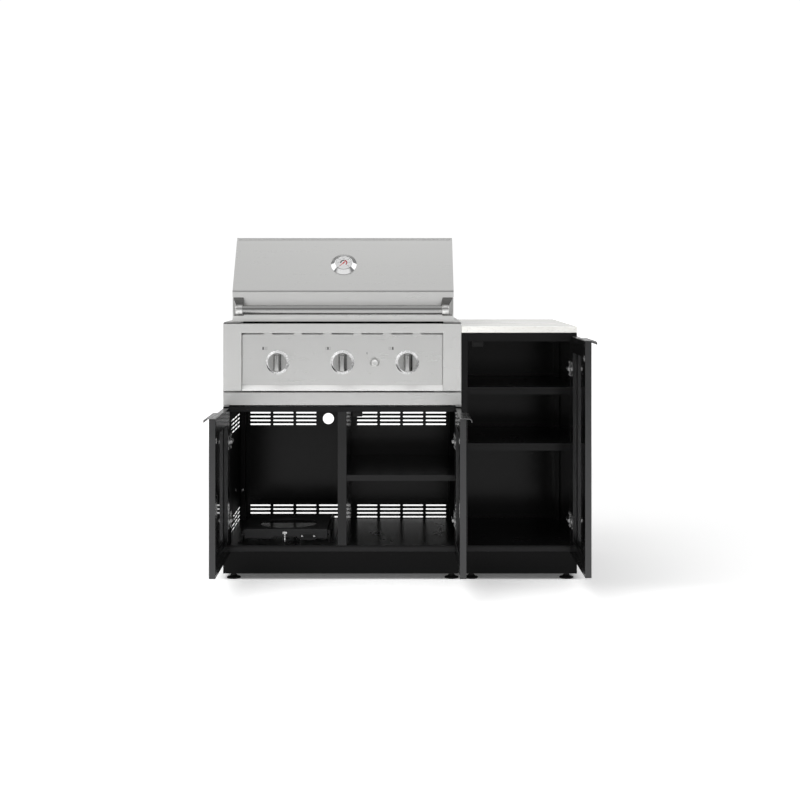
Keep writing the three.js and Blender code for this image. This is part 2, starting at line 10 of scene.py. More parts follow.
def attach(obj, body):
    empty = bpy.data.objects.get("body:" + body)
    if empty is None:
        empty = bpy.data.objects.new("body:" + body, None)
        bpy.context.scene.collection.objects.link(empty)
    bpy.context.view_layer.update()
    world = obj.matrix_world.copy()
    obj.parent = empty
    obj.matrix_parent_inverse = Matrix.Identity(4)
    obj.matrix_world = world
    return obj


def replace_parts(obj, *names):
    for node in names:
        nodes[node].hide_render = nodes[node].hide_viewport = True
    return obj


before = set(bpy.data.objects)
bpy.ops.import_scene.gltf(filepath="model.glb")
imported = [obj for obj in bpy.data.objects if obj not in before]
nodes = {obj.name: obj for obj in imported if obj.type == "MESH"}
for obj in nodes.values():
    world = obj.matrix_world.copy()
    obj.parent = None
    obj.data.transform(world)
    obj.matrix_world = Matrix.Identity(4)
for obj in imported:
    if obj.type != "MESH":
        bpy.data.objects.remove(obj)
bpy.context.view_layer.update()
scene = bpy.context.scene

# Lengths below are millimetres in the cabinet frame: X from the left face of the grill
# cabinet, Y from the cabinet fronts towards the back, Z from the floor.
OX, OY = 623.4, 192.3


def P(x, y, z):
    return Vector(((x - OX) / 1000, (y - OY) / 1000, z / 1000))


# ------------------------------------------------------------------ camera, light, stage
FOCAL_PX = 1480.5          # level camera, in pixels of an 800 px frame
cam_data = bpy.data.cameras.new("camera")
cam = bpy.data.objects.new("camera", cam_data)
scene.collection.objects.link(cam)
cam.location = P(618, -5208, 1080)
cam.rotation_euler = (math.pi / 2, 0, 0)
cam_data.sensor_width = 36
cam_data.lens = FOCAL_PX / 800 * 36
cam_data.shift_x = (400 - 398.8) / 800
cam_data.shift_y = (272.6 - 400) / 800
cam_data.clip_end = 200
scene.camera = cam
scene.view_settings.view_transform = "Standard"
scene.view_settings.look = "None"

world = bpy.data.worlds.new("studio")
scene.world = world
world.use_nodes = True
wn, wl = world.node_tree.nodes, world.node_tree.links
wn.clear()
w_out = wn.new("ShaderNodeOutputWorld")
w_tc = wn.new("ShaderNodeTexCoord")
w_sep = wn.new("ShaderNodeSeparateXYZ")
w_bg = wn.new("ShaderNodeBackground")
w_white = wn.new("ShaderNodeBackground")
w_mix = wn.new("ShaderNodeMixShader")
w_path = wn.new("ShaderNodeLightPath")
wl.new(w_tc.outputs["Generated"], w_sep.inputs[0])
# brightness of the studio by height, in front of the piece (wall, dim band, softboxes,
# ceiling) and behind it (brighter wall, dim above it)
FRONT = [(0.0, 0.88), (0.17, 0.88), (0.27, 0.24), (0.60, 0.24), (0.80, 0.62), (0.90, 0.66), (0.985, 0.70), (0.998, 1.40)]
BACK = [(0.0, 1.40), (0.07, 1.40), (0.13, 0.34), (0.60, 0.24), (0.88, 0.26), (0.95, 0.60), (0.985, 0.74), (0.998, 1.40)]
w_back = wn.new("ShaderNodeMapRange")
w_back.interpolation_type = "SMOOTHSTEP"
for i, v in enumerate((-0.05, 0.22, 0.0, 1.0)):
    w_back.inputs[i + 1].default_value = v
wl.new(w_sep.outputs["Y"], w_back.inputs[0])
w_side = wn.new("ShaderNodeMix")
w_side.data_type = "RGBA"
wl.new(w_back.outputs[0], w_side.inputs[0])
for slot, stops in ((6, FRONT), (7, BACK)):
    w_ramp = wn.new("ShaderNodeValToRGB")
    wl.new(w_sep.outputs["Z"], w_ramp.inputs[0])
    ramp = w_ramp.color_ramp
    while len(ramp.elements) < len(stops):
        ramp.elements.new(0.5)
    for e, (p, v) in zip(ramp.elements, stops):
        e.position = p
        e.color = (v, v, v, 1)
    wl.new(w_ramp.outputs[0], w_side.inputs[slot])
wl.new(w_side.outputs[2], w_bg.inputs["Color"])
w_bg.inputs["Strength"].default_value = 1.0
w_white.inputs["Color"].default_value = (1, 1, 1, 1)
w_white.inputs["Strength"].default_value = 1.04
wl.new(w_path.outputs["Is Camera Ray"], w_mix.inputs[0])
wl.new(w_bg.outputs[0], w_mix.inputs[1])
wl.new(w_white.outputs[0], w_mix.inputs[2])
wl.new(w_mix.outputs[0], w_out.inputs[0])


def area(name, at, look, size, watts, colour=(1, 1, 1), size_y=None):
    d = bpy.data.lights.new(name, "AREA")
    d.energy = watts
    d.color = colour
    d.size = size
    if size_y:
        d.shape = "RECTANGLE"
        d.size_y = size_y
    o = bpy.data.objects.new(name, d)
    o.location = at
    o.rotation_euler = (Vector(look) - Vector(at)).to_track_quat("-Z", "Y").to_euler()
    scene.collection.objects.link(o)
    return o


key = area("key", (-2.5, -2.3, 5.2), (0.1, -0.1, 0.4), 4.8, 185)
key.visible_glossy = False
for name, x in (("softbox_left", -4.5), ("softbox_right", 4.7)):
    side = area(name, (x, -0.8, 4.3), (0.1, -0.1, 0.5), 4.0, 52)
    side.visible_diffuse = False
fill = area("front_fill", (0.3, -7.2, 2.2), (0, -0.1, 0.6), 4.0, 105)
fill.visible_glossy = False


# ------------------------------------------------------------------ node helpers
class Mat:
    def __init__(self, name, colour, rough, metal=0.0, spec=0.5, **kw):
        m = bpy.data.materials.new(name)
        m.use_nodes = True
        self.m, self.n, self.l = m, m.node_tree.nodes, m.node_tree.links
        self.b = next(x for x in self.n if x.type == "BSDF_PRINCIPLED")
        self.b.inputs["Base Color"].default_value = (*colour, 1)
        self.b.inputs["Roughness"].default_value = rough
        self.b.inputs["Metallic"].default_value = metal
        self.b.inputs["Specular IOR Level"].default_value = spec
        for k, v in kw.items():
            self.b.inputs[k].default_value = v
        self.colour, self.rough = colour, rough
        self.tc = self.n.new("ShaderNodeTexCoord")

    def node(self, kind, **kw):
        x = self.n.new(kind)
        for k, v in kw.items():
            setattr(x, k, v)
        return x

    def math(self, op, a, b=None, c=None, clamp=False):
        x = self.node("ShaderNodeMath", operation=op, use_clamp=clamp)
        for i, v in enumerate((a, b, c)):
            if v is None:
                continue
            if isinstance(v, (int, float)):
                x.inputs[i].default_value = v
            else:
                self.l.new(v, x.inputs[i])
        return x.outputs[0]

    def coords(self, scale=(1, 1, 1), shift=(0, 0, 0)):
        x = self.node("ShaderNodeMapping")
        x.inputs["Scale"].default_value = scale
        x.inputs["Location"].default_value = shift
        self.l.new(self.tc.outputs["Object"], x.inputs["Vector"])
        return x.outputs[0]

    def noise(self, vec, scale=1.0, detail=3.0, rough=0.5, dist=0.0):
        x = self.node("ShaderNodeTexNoise")
        self.l.new(vec, x.inputs["Vector"])
        x.inputs["Scale"].default_value = scale
        x.inputs["Detail"].default_value = detail
        x.inputs["Roughness"].default_value = rough
        x.inputs["Distortion"].default_value = dist
        return x.outputs["Fac"]

    def ramp(self, fac, stops, interp="LINEAR"):
        x = self.node("ShaderNodeValToRGB")
        x.color_ramp.interpolation = interp
        self.l.new(fac, x.inputs[0])
        e = x.color_ramp.elements
        while len(e) < len(stops):
            e.new(0.5)
        for k, (p, c) in zip(e, stops):
            k.position = p
            k.color = (*c, 1) if isinstance(c, tuple) else (c, c, c, 1)
        return x.outputs[0]

    def mix(self, fac, a, b, kind="MIX"):
        x = self.node("ShaderNodeMix", data_type="RGBA", blend_type=kind)
        for sock, v in ((x.inputs[0], fac), (x.inputs[6], a), (x.inputs[7], b)):
            if isinstance(v, (int, float)):
                sock.default_value = v if sock.type == "VALUE" else (v, v, v, 1)
            elif isinstance(v, tuple):
                sock.default_value = (*v, 1)
            else:
                self.l.new(v, sock)
        return x.outputs[2]

    def colour_from(self, sock):
        self.l.new(sock, self.b.inputs["Base Color"])

    def rough_up(self, up, fac, lo, hi, more):
        """Roughness from a factor, with more of it on faces that look up."""
        x = self.node("ShaderNodeMapRange")
        self.l.new(fac, x.inputs[0])
        x.inputs[3].default_value = lo
        x.inputs[4].default_value = hi
        y = self.math("MULTIPLY", self.math("GREATER_THAN", up, 0.9), more)
        self.l.new(self.math("ADD", x.outputs[0], y), self.b.inputs["Roughness"])

    def rough_from(self, fac, lo, hi):
        x = self.node("ShaderNodeMapRange")
        self.l.new(fac, x.inputs[0])
        x.inputs["From Min"].default_value = 0.3
        x.inputs["From Max"].default_value = 0.7
        x.inputs["To Min"].default_value = lo
        x.inputs["To Max"].default_value = hi
        self.l.new(x.outputs[0], self.b.inputs["Roughness"])

    def bump(self, height, strength=0.3, distance=0.0002):
        x = self.node("ShaderNodeBump")
        x.inputs["Strength"].default_value = strength
        x.inputs["Distance"].default_value = distance
        self.l.new(height, x.inputs["Height"])
        self.l.new(x.outputs[0], self.b.inputs["Normal"])


def brushed(name, colour, rough, along="x", contrast=0.05, metal=1.0, low=None):
    """Brushed sheet: long fine strokes along X, or along Y where the face looks sideways.
    low = (height in metres, factor): painted light; the sheet is painted that much lighter below the height."""
    m = Mat(name, colour, rough, metal)
    fine, long_ = 420.0, 22.0
    if along == "x":
        a = m.coords((long_, fine, fine))
        b = m.coords((fine, long_, fine))
        wide_a = m.coords((0.9, 60, 60))
        wide_b = m.coords((60, 0.9, 60))
        sep = m.node("ShaderNodeSeparateXYZ")
        m.l.new(m.tc.outputs["Normal"], sep.inputs[0])
        side = m.math("GREATER_THAN", m.math("ABSOLUTE", sep.outputs["X"]), 0.75)

        def pick(p, q):
            x = m.node("ShaderNodeMix", data_type="VECTOR")
            m.l.new(side, x.inputs[0])
            m.l.new(p, x.inputs[4])
            m.l.new(q, x.inputs[5])
            return x.outputs[1]

        vec, wide = pick(a, b), pick(wide_a, wide_b)
    else:
        vec, wide = m.coords((fine, fine, long_)), m.coords((60, 60, 0.9))
    strokes = m.noise(vec, 1.0, 2.0, 0.6)
    bands = m.noise(wide, 1.0, 3.0, 0.6)
    cloud = m.noise(m.coords((3, 3, 3)), 1.0, 2.0, 0.5)
    total = m.math("ADD", m.math("MULTIPLY", strokes, 0.5), m.math("MULTIPLY", bands, 0.5))
    total = m.math("ADD", m.math("MULTIPLY", total, 0.8), m.math("MULTIPLY", cloud, 0.2))
    lo = tuple(c * (1 - contrast) for c in colour)
    hi = tuple(min(1, c * (1 + contrast)) for c in colour)
    shade = m.ramp(total, [(0.3, lo), (0.7, hi)])
    # painted light: below the given height the colour is raised by the factor
    if low:
        xyz = m.node("ShaderNodeSeparateXYZ")
        m.l.new(m.tc.outputs["Object"], xyz.inputs[0])
        under = m.node("ShaderNodeMapRange", interpolation_type="SMOOTHSTEP")
        m.l.new(xyz.outputs["Z"], under.inputs["Value"])
        under.inputs["From Min"].default_value = low[0]
        under.inputs["From Max"].default_value = low[0] + 0.012
        shade = m.mix(under.outputs[0], tuple(c * low[1] for c in colour), shade)
    m.colour_from(shade)
    m.rough_from(total, rough - 0.012, rough + 0.012)
    m.bump(strokes, 0.012, 0.00003)
    return m.m


def build_materials():
    out = {}
    # satin black powder coat: faint orange peel and mottling, painted shade below the floor lip and a painted highlight
    # on the lip's front face
    for key, name, spec, lip_highlight in (("powder", "powder_coat", 0.15, 0.014), ("powder_base", "powder_coat_base", 0.09, 0.0178)):
        m = Mat(name, (0.0065, 0.0065, 0.0067), 0.30, 0.0, spec)
        peel = m.noise(m.coords((700, 700, 700)), 1.0, 2.0, 0.5)
        cloud = m.noise(m.coords((9, 9, 9)), 1.0, 3.0, 0.55)
        sep = m.node("ShaderNodeSeparateXYZ")
        m.l.new(m.tc.outputs["Object"], sep.inputs[0])
        base = m.ramp(cloud, [(0.3, (0.0058, 0.0058, 0.0060)), (0.7, (0.0074, 0.0074, 0.0076))])
        # painted shade: below 98.6 mm the coat is made near black
        low = m.math("LESS_THAN", sep.outputs["Z"], 0.0986)
        nrm = m.node("ShaderNodeSeparateXYZ")
        m.l.new(m.tc.outputs["Normal"], nrm.inputs[0])
        # painted highlight: faces looking to the front below 113.5 mm, the floor lip's face, are made lighter
        lip = m.math("MULTIPLY", m.math("LESS_THAN", nrm.outputs["Y"], -0.9), m.math("LESS_THAN", sep.outputs["Z"], 0.1135))
        m.colour_from(m.mix(low, m.mix(lip, base, (lip_highlight, lip_highlight, lip_highlight * 1.02)), (0.0020, 0.0020, 0.0021)))
        m.rough_up(nrm.outputs["Z"], cloud, 0.14, 0.18, 0.12)
        m.bump(peel, 0.10, 0.00012)
        out[key] = m.m

    out["steel"] = brushed("brushed_stainless", (0.72, 0.72, 0.71), 0.28, "x", 0.010)
    # painted light: the hood band under the handle, below 932 mm, is painted 18 % lighter to lift the handle's shade
    out["steel_hood"] = brushed("hood_stainless", (0.72, 0.72, 0.71), 0.28, "x", 0.010, 1.0, (0.932, 1.18))
    out["steel_dark"] = brushed("burner_steel", (0.46, 0.45, 0.43), 0.36, "x", 0.10)
    # painted shade: the handle brackets are the hood's stainless painted dark
    out["steel_shade"] = brushed("bracket_steel_painted_shade", (0.26, 0.26, 0.255), 0.26, "x", 0.04)
    # painted light: the fascia lip is the same stainless, painted lighter; its higher roughness is its satin finish
    out["steel_lip"] = brushed("lip_satin_painted_bright", (0.89, 0.89, 0.88), 0.50, "x", 0.006, 0.45)
    # painted shade: the handle tube is the same stainless, painted about half as light to stand in for the dark
    # reflections along it
    out["steel_tube"] = brushed("tube_satin_painted_dark", (0.38, 0.38, 0.375), 0.15, "x", 0.015)
    # painted shade: the same stainless sheet as the hood, painted darker for the recessed control panel, the fascia
    # frame and the drip tray's front strip
    out["steel_front"] = brushed("front_stainless_painted_shade", (0.635, 0.635, 0.627), 0.28, "x", 0.009)
    out["steel_frame"] = brushed("frame_stainless_painted_shade", (0.70, 0.70, 0.69), 0.28, "x", 0.009)
    out["steel_strip"] = brushed("strip_stainless_painted_shade", (0.585, 0.585, 0.577), 0.28, "x", 0.009)
    out["steel_knob"] = brushed("knob_satin", (0.41, 0.41, 0.405), 0.22, "z", 0.05)

    m = Mat("polished_chrome", (0.86, 0.86, 0.86), 0.07, 1.0)
    wear = m.noise(m.coords((120, 120, 120)), 1.0, 4.0, 0.6)
    m.rough_from(wear, 0.05, 0.11)
    m.colour_from(m.ramp(wear, [(0.3, 0.82), (0.7, 0.89)]))
    out["chrome"] = m.m

    m = Mat("satin_chrome", (0.84, 0.84, 0.84), 0.27, 0.55)
    wear = m.noise(m.coords((120, 120, 120)), 1.0, 4.0, 0.6)
    m.rough_from(wear, 0.24, 0.30)
    m.colour_from(m.ramp(wear, [(0.3, 0.81), (0.7, 0.86)]))
    out["chrome_soft"] = m.m

    m = Mat("powder_matte", (0.0065, 0.0065, 0.0067), 0.55, 0.0, 0.03)
    cloud = m.noise(m.coords((9, 9, 9)), 1.0, 3.0, 0.55)
    m.colour_from(m.ramp(cloud, [(0.3, (0.0066, 0.0066, 0.0068)), (0.7, (0.0084, 0.0084, 0.0086))]))
    m.rough_from(cloud, 0.50, 0.58)
    m.bump(m.noise(m.coords((700, 700, 700)), 1.0, 2.0, 0.5), 0.10, 0.00012)
    out["powder_matte"] = m.m

    m = Mat("hinge_nickel", (0.50, 0.50, 0.49), 0.24, 1.0)
    wear = m.noise(m.coords((260, 260, 260)), 1.0, 4.0, 0.6)
    m.rough_from(wear, 0.20, 0.32)
    m.colour_from(m.ramp(wear, [(0.3, 0.46), (0.7, 0.54)]))
    out["nickel"] = m.m

    m = Mat("door_metal", (0.064, 0.064, 0.065), 0.20, 1.0, 0.5)
    fine = m.noise(m.coords((900, 900, 14)), 1.0, 2.0, 0.6)
    cloud = m.noise(m.coords((7, 7, 7)), 1.0, 3.0, 0.55)
    total = m.math("ADD", m.math("MULTIPLY", fine, 0.5), m.math("MULTIPLY", cloud, 0.5))
    m.colour_from(m.ramp(total, [(0.3, (0.059, 0.059, 0.060)), (0.7, (0.069, 0.069, 0.070))]))
    m.rough_from(total, 0.17, 0.24)
    m.bump(fine, 0.05, 0.00005)
    out["door"] = m.m

    m = Mat("pull_metal", (0.22, 0.22, 0.22), 0.26, 0.9, 0.5)
    fine = m.noise(m.coords((900, 12, 900)), 1.0, 2.0, 0.6)
    m.colour_from(m.ramp(fine, [(0.3, 0.19), (0.7, 0.25)]))
    m.rough_from(fine, 0.2, 0.32)
    out["pull"] = m.m

    m = Mat("tinted_glass", (0.0075, 0.0075, 0.008), 0.04, 0.0, 0.32)
    smear = m.noise(m.coords((6, 6, 14)), 1.0, 3.0, 0.6)
    m.rough_from(smear, 0.03, 0.08)
    m.colour_from(m.ramp(smear, [(0.3, (0.0068, 0.0068, 0.0073)), (0.7, (0.0082, 0.0082, 0.0088))]))
    out["glass"] = m.m

    # honed engineered stone: warm white ground, fine grey and beige grains, a few dark flecks
    m = Mat("speckled_stone", (0.70, 0.70, 0.66), 0.34, 0.0, 0.35)
    vec = m.coords((1, 1, 1))

    def grains(scale, lo, hi, seed):
        v = m.node("ShaderNodeTexVoronoi")
        v.inputs["Scale"].default_value = scale
        m.l.new(m.coords((1, 1, 1), (seed, seed * 1.7, seed * 0.6)), v.inputs["Vector"])
        rgb = m.node("ShaderNodeSeparateColor")
        m.l.new(v.outputs["Color"], rgb.inputs[0])
        pick = m.math("GREATER_THAN", rgb.outputs[0], hi)
        near = m.math("LESS_THAN", v.outputs["Distance"], lo)
        return m.math("MULTIPLY", pick, near), rgb.outputs[1]

    cloud = m.noise(vec, 14, 4.0, 0.6)
    ground = m.ramp(cloud, [(0.3, (0.89, 0.88, 0.835)), (0.7, (0.94, 0.935, 0.90))])
    g1, v1 = grains(420, 0.42, 0.62, 0.0)
    g2, v2 = grains(250, 0.34, 0.80, 3.1)
    g3, v3 = grains(330, 0.30, 0.93, 7.7)
    c = m.mix(m.math("MULTIPLY", g1, 0.55), ground, m.ramp(v1, [(0.2, (0.68, 0.67, 0.63)), (0.8, (0.93, 0.93, 0.91))]))
    c = m.mix(m.math("MULTIPLY", g2, 0.6), c, m.ramp(v2, [(0.2, (0.52, 0.50, 0.455)), (0.8, (0.76, 0.74, 0.69))]))
    c = m.mix(m.math("MULTIPLY", g3, 0.7), c, (0.22, 0.215, 0.20))
    m.colour_from(c)
    m.rough_from(cloud, 0.18, 0.27)
    m.bump(m.noise(m.coords((500, 500, 500)), 1.0, 2.0, 0.5), 0.05, 0.0001)
    out["stone"] = m.m

    m = Mat("black_plastic", (0.006, 0.006, 0.006), 0.5, 0.0, 0.2)
    grain = m.noise(m.coords((1400, 1400, 1400)), 1.0, 2.0, 0.5)
    m.bump(grain, 0.15, 0.0001)
    m.rough_from(grain, 0.42, 0.58)
    m.colour_from(m.ramp(grain, [(0.3, 0.005), (0.7, 0.008)]))
    out["plastic"] = m.m

    # rubber for the door seals and bumpers; also painted shade on the bottle tray's pull plate
    m = Mat("rubber_seal", (0.012, 0.012, 0.012), 0.7, 0.0, 0.2)
    grain = m.noise(m.coords((900, 900, 900)), 1.0, 2.0, 0.5)
    m.bump(grain, 0.2, 0.0001)
    m.colour_from(m.ramp(grain, [(0.3, 0.010), (0.7, 0.015)]))
    out["rubber"] = m.m

    m = Mat("enamelled_iron", (0.022, 0.022, 0.022), 0.42, 0.0, 0.4)
    grain = m.noise(m.coords((350, 350, 350)), 1.0, 4.0, 0.65)
    m.bump(grain, 0.35, 0.0003)
    m.rough_from(grain, 0.32, 0.52)
    m.colour_from(m.ramp(grain, [(0.3, 0.016), (0.7, 0.03)]))
    out["iron"] = m.m

    # soot on the firebox walls; the same dark grey also serves as painted shade in the grease channel
    m = Mat("soot_grey_and_shade", (0.05, 0.05, 0.052), 0.6, 0.2, 0.3)
    grain = m.noise(m.coords((60, 60, 60)), 1.0, 4.0, 0.6)
    m.colour_from(m.ramp(grain, [(0.3, 0.035), (0.7, 0.07)]))
    m.rough_from(grain, 0.5, 0.7)
    out["soot"] = m.m

    m = Mat("dial_white", (0.56, 0.56, 0.56), 0.35, 0.0, 0.4)
    grain = m.noise(m.coords((500, 500, 500)), 1.0, 2.0, 0.5)
    m.colour_from(m.ramp(grain, [(0.3, 0.54), (0.7, 0.58)]))
    out["dial"] = m.m

    m = Mat("print_black", (0.012, 0.012, 0.012), 0.5, 0.0, 0.3)
    grain = m.noise(m.coords((800, 800, 800)), 1.0, 2.0, 0.5)
    m.colour_from(m.ramp(grain, [(0.3, 0.010), (0.7, 0.016)]))
    out["ink"] = m.m

    m = Mat("print_grey", (0.16, 0.16, 0.16), 0.5, 0.0, 0.3)
    grain = m.noise(m.coords((800, 800, 800)), 1.0, 2.0, 0.5)
    m.colour_from(m.ramp(grain, [(0.3, 0.14), (0.7, 0.18)]))
    out["ink_grey"] = m.m

    m = Mat("band_red", (0.30, 0.02, 0.03), 0.4, 0.0, 0.4)
    grain = m.noise(m.coords((800, 800, 800)), 1.0, 2.0, 0.5)
    m.colour_from(m.ramp(grain, [(0.3, (0.27, 0.018, 0.028)), (0.7, (0.33, 0.022, 0.032))]))
    out["red_dark"] = m.m

    m = Mat("powder_dark", (0.016, 0.016, 0.0165), 0.34, 0.0, 0.16)
    peel = m.noise(m.coords((700, 700, 700)), 1.0, 2.0, 0.5)
    cloud = m.noise(m.coords((12, 12, 12)), 1.0, 3.0, 0.55)
    m.colour_from(m.ramp(cloud, [(0.3, (0.0145, 0.0145, 0.015)), (0.7, (0.019, 0.019, 0.0195))]))
    m.rough_from(cloud, 0.30, 0.40)
    m.bump(peel, 0.10, 0.00012)
    out["powder_dark"] = m.m

    # painted light: the black coat of the other parts, with the faces that look to the front painted about twice as
    # light
    m = Mat("powder_painted_lit_front", (0.012, 0.012, 0.0123), 0.20, 0.0, 0.15)
    cloud = m.noise(m.coords((9, 9, 9)), 1.0, 3.0, 0.55)
    nrm = m.node("ShaderNodeSeparateXYZ")
    m.l.new(m.tc.outputs["Normal"], nrm.inputs[0])
    base = m.ramp(cloud, [(0.3, (0.0058, 0.0058, 0.0060)), (0.7, (0.0074, 0.0074, 0.0076))])
    m.colour_from(m.mix(m.math("LESS_THAN", nrm.outputs["Y"], -0.9), base, (0.0135, 0.0135, 0.0138)))
    m.rough_up(nrm.outputs["Z"], cloud, 0.14, 0.18, 0.06)
    m.bump(m.noise(m.coords((700, 700, 700)), 1.0, 2.0, 0.5), 0.10, 0.00012)
    out["powder_painted_lit_front"] = m.m

    # painted light: the same black coat, painted lighter for the divider so it shows brighter than the other black
    # parts
    m = Mat("powder_painted_brighter", (0.017, 0.017, 0.0173), 0.30, 0.0, 0.18)
    peel = m.noise(m.coords((700, 700, 700)), 1.0, 2.0, 0.5)
    cloud = m.noise(m.coords((9, 9, 9)), 1.0, 3.0, 0.55)
    m.colour_from(m.ramp(cloud, [(0.3, (0.0155, 0.0155, 0.0158)), (0.7, (0.0185, 0.0185, 0.0188))]))
    m.rough_from(cloud, 0.18, 0.23)
    m.bump(peel, 0.10, 0.00012)
    out["powder_painted_brighter"] = m.m

    m = Mat("needle_red", (0.55, 0.02, 0.02), 0.4, 0.0, 0.4)
    grain = m.noise(m.coords((800, 800, 800)), 1.0, 2.0, 0.5)
    m.colour_from(m.ramp(grain, [(0.3, (0.50, 0.018, 0.018)), (0.7, (0.60, 0.022, 0.022))]))
    out["red"] = m.m
    return out


MAT = build_materials()


def wear(obj, name):
    obj.data.materials.clear()
    obj.data.materials.append(MAT[name])


# ------------------------------------------------------------------ geometry helpers
def mesh_object(name, verts, faces, mat, body, slot, smooth=35, bevel=None, at=P):
    """verts are millimetres in the cabinet frame, or whatever 'at' turns into metres."""
    me = bpy.data.meshes.new(name)
    me.from_pydata([at(*v) for v in verts], [], faces)
    bm = bmesh.new()
    bm.from_mesh(me)
    bmesh.ops.remove_doubles(bm, verts=bm.verts, dist=1e-6)
    bmesh.ops.recalc_face_normals(bm, faces=bm.faces)
    bm.to_mesh(me)
    bm.free()
    o = bpy.data.objects.new(name, me)
    scene.collection.objects.link(o)
    finish_mesh(o, mat, body, slot, smooth, bevel)
    return o


def finish_mesh(o, mat, body, slot, smooth=35, bevel=None):
    wear(o, mat)
    for p in o.data.polygons:
        p.use_smooth = True
    if bevel:
        b = o.modifiers.new("edges", "BEVEL")
        b.width = bevel[0] / 1000
        b.segments = bevel[1]
        b.limit_method = "ANGLE"
        b.angle_limit = math.radians(bevel[2] if len(bevel) > 2 else 35)
        b.harden_normals = False
        w = o.modifiers.new("normals", "WEIGHTED_NORMAL")
        w.keep_sharp = True
        w.weight = 60
    else:
        o.data.set_sharp_from_angle(angle=math.radians(smooth))
    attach(o, body)


def soften(node, mat, width=0.4, segments=2, angle=35):
    """A CAD node that stays: welded corners, a fine edge radius and its finish."""
    o = nodes[node]
    wear(o, mat)
    for p in o.data.polygons:
        p.use_smooth = True
    w = o.modifiers.new("weld", "WELD")
    w.merge_threshold = 1e-5
    b = o.modifiers.new("edges", "BEVEL")
    b.width = width / 1000
    b.segments = segments
    b.limit_method = "ANGLE"
    b.angle_limit = math.radians(angle)
    n = o.modifiers.new("normals", "WEIGHTED_NORMAL")
    n.keep_sharp = True
    n.weight = 60


def prism_faces(n):
    return [list(range(n))[::-1], list(range(n, 2 * n))] + [[i, (i + 1) % n, n + (i + 1) % n, n + i] for i in range(n)]


def prism(axis, outline, lo, hi):
    """Vertices and faces of a flat outline pushed along an axis; (x,y) for z, (y,z) for x, (x,z) for y."""
    put = {"z": lambda a, b, c: (a, b, c), "x": lambda a, b, c: (c, a, b), "y": lambda a, b, c: (a, c, b)}[axis]
    v = [put(a, b, lo) for a, b in outline] + [put(a, b, hi) for a, b in outline]
    return v, prism_faces(len(outline))


def box(x0, x1, y0, y1, z0, z1):
    return prism("z", [(x0, y0), (x1, y0), (x1, y1), (x0, y1)], z0, z1)


def merge(*shapes):
    verts, faces = [], []
    for v, f in shapes:
        n = len(verts)
        verts += list(v)
        faces += [[i + n for i in q] for q in f]
    return verts, faces


def ring(radius, n, ca=0.0, cb=0.0, start=0.0):
    return [(ca + radius * math.cos(start + 2 * math.pi * i / n), cb + radius * math.sin(start + 2 * math.pi * i / n)) for i in range(n)]


def lathe(profile, n=64):
    """(radius, height) points turned about the local height axis; closed where a radius is 0."""
    verts, faces, rows = [], [], []
    for r, h in profile:
        if r < 1e-6:
            rows.append([len(verts)])
            verts.append((0, 0, h))
        else:
            rows.append(list(range(len(verts), len(verts) + n)))
            verts += [(a, b, h) for a, b in ring(r, n)]
    pairs = list(zip(rows, rows[1:]))
    if len(rows[0]) > 1 and len(rows[-1]) > 1:
        pairs.append((rows[-1], rows[0]))
    for p, q in pairs:
        for i in range(n):
            j = (i + 1) % n
            if len(p) == 1 and len(q) == 1:
                continue
            if len(p) == 1:
                faces.append([p[0], q[j], q[i]])
            elif len(q) == 1:
                faces.append([p[i], p[j], q[0]])
            else:
                faces.append([p[i], p[j], q[j], q[i]])
    return verts, faces


def fillet(points, radius, seg=6, closed=True):
    """Rounds the corners of a flat outline; radius is a number or one per point."""
    n = len(points)
    radii = [radius] * n if isinstance(radius, (int, float)) else radius
    out = []
    for i, p in enumerate(points):
        r = radii[i]
        if r <= 0 or (not closed and i in (0, n - 1)):
            out.append(tuple(p))
            continue
        a, b, c = Vector(points[i - 1]), Vector(p), Vector(points[(i + 1) % n])
        u, v = (a - b), (c - b)
        lu, lv = u.length, v.length
        u.normalize()
        v.normalize()
        ang = u.angle(v)
        t = min(r / math.tan(ang / 2), lu * 0.49, lv * 0.49)
        p0, p1 = b + u * t, b + v * t
        for k in range(seg + 1):
            s = k / seg
            q = (1 - s) ** 2 * p0 + 2 * s * (1 - s) * b + s ** 2 * p1
            out.append((q.x, q.y))
    return out


def toward_front(x0, y0, z0):
    """Local (a, b, h): a to the right, b up, h out of the front, towards -Y."""
    return lambda a, b, h: P(x0 + a, y0 - h, z0 + b)


def cut_out(o, cutter_shape, at=P):
    """Boolean difference, applied; the cutter is thrown away."""
    me = bpy.data.meshes.new("cutter")
    me.from_pydata([at(*v) for v in cutter_shape[0]], [], cutter_shape[1])
    bm = bmesh.new()
    bm.from_mesh(me)
    bmesh.ops.recalc_face_normals(bm, faces=bm.faces)
    bm.to_mesh(me)
    bm.free()
    c = bpy.data.objects.new("cutter", me)
    scene.collection.objects.link(c)
    mod = o.modifiers.new("cut", "BOOLEAN")
    mod.operation = "DIFFERENCE"
    mod.solver = "EXACT"
    mod.object = c
    dg = bpy.context.evaluated_depsgraph_get()
    new = bpy.data.meshes.new_from_object(o.evaluated_get(dg))
    o.modifiers.clear()
    old = o.data
    o.data = new
    bpy.data.meshes.remove(old)
    bpy.data.objects.remove(c)
    bpy.data.meshes.remove(me)


def plain_mesh(name, shape, at=P):
    me = bpy.data.meshes.new(name)
    me.from_pydata([at(*v) for v in shape[0]], [], shape[1])
    bm = bmesh.new()
    bm.from_mesh(me)
    bmesh.ops.remove_doubles(bm, verts=bm.verts, dist=1e-6)
    bmesh.ops.recalc_face_normals(bm, faces=bm.faces)
    bm.to_mesh(me)
    bm.free()
    o = bpy.data.objects.new(name, me)
    scene.collection.objects.link(o)
    return o


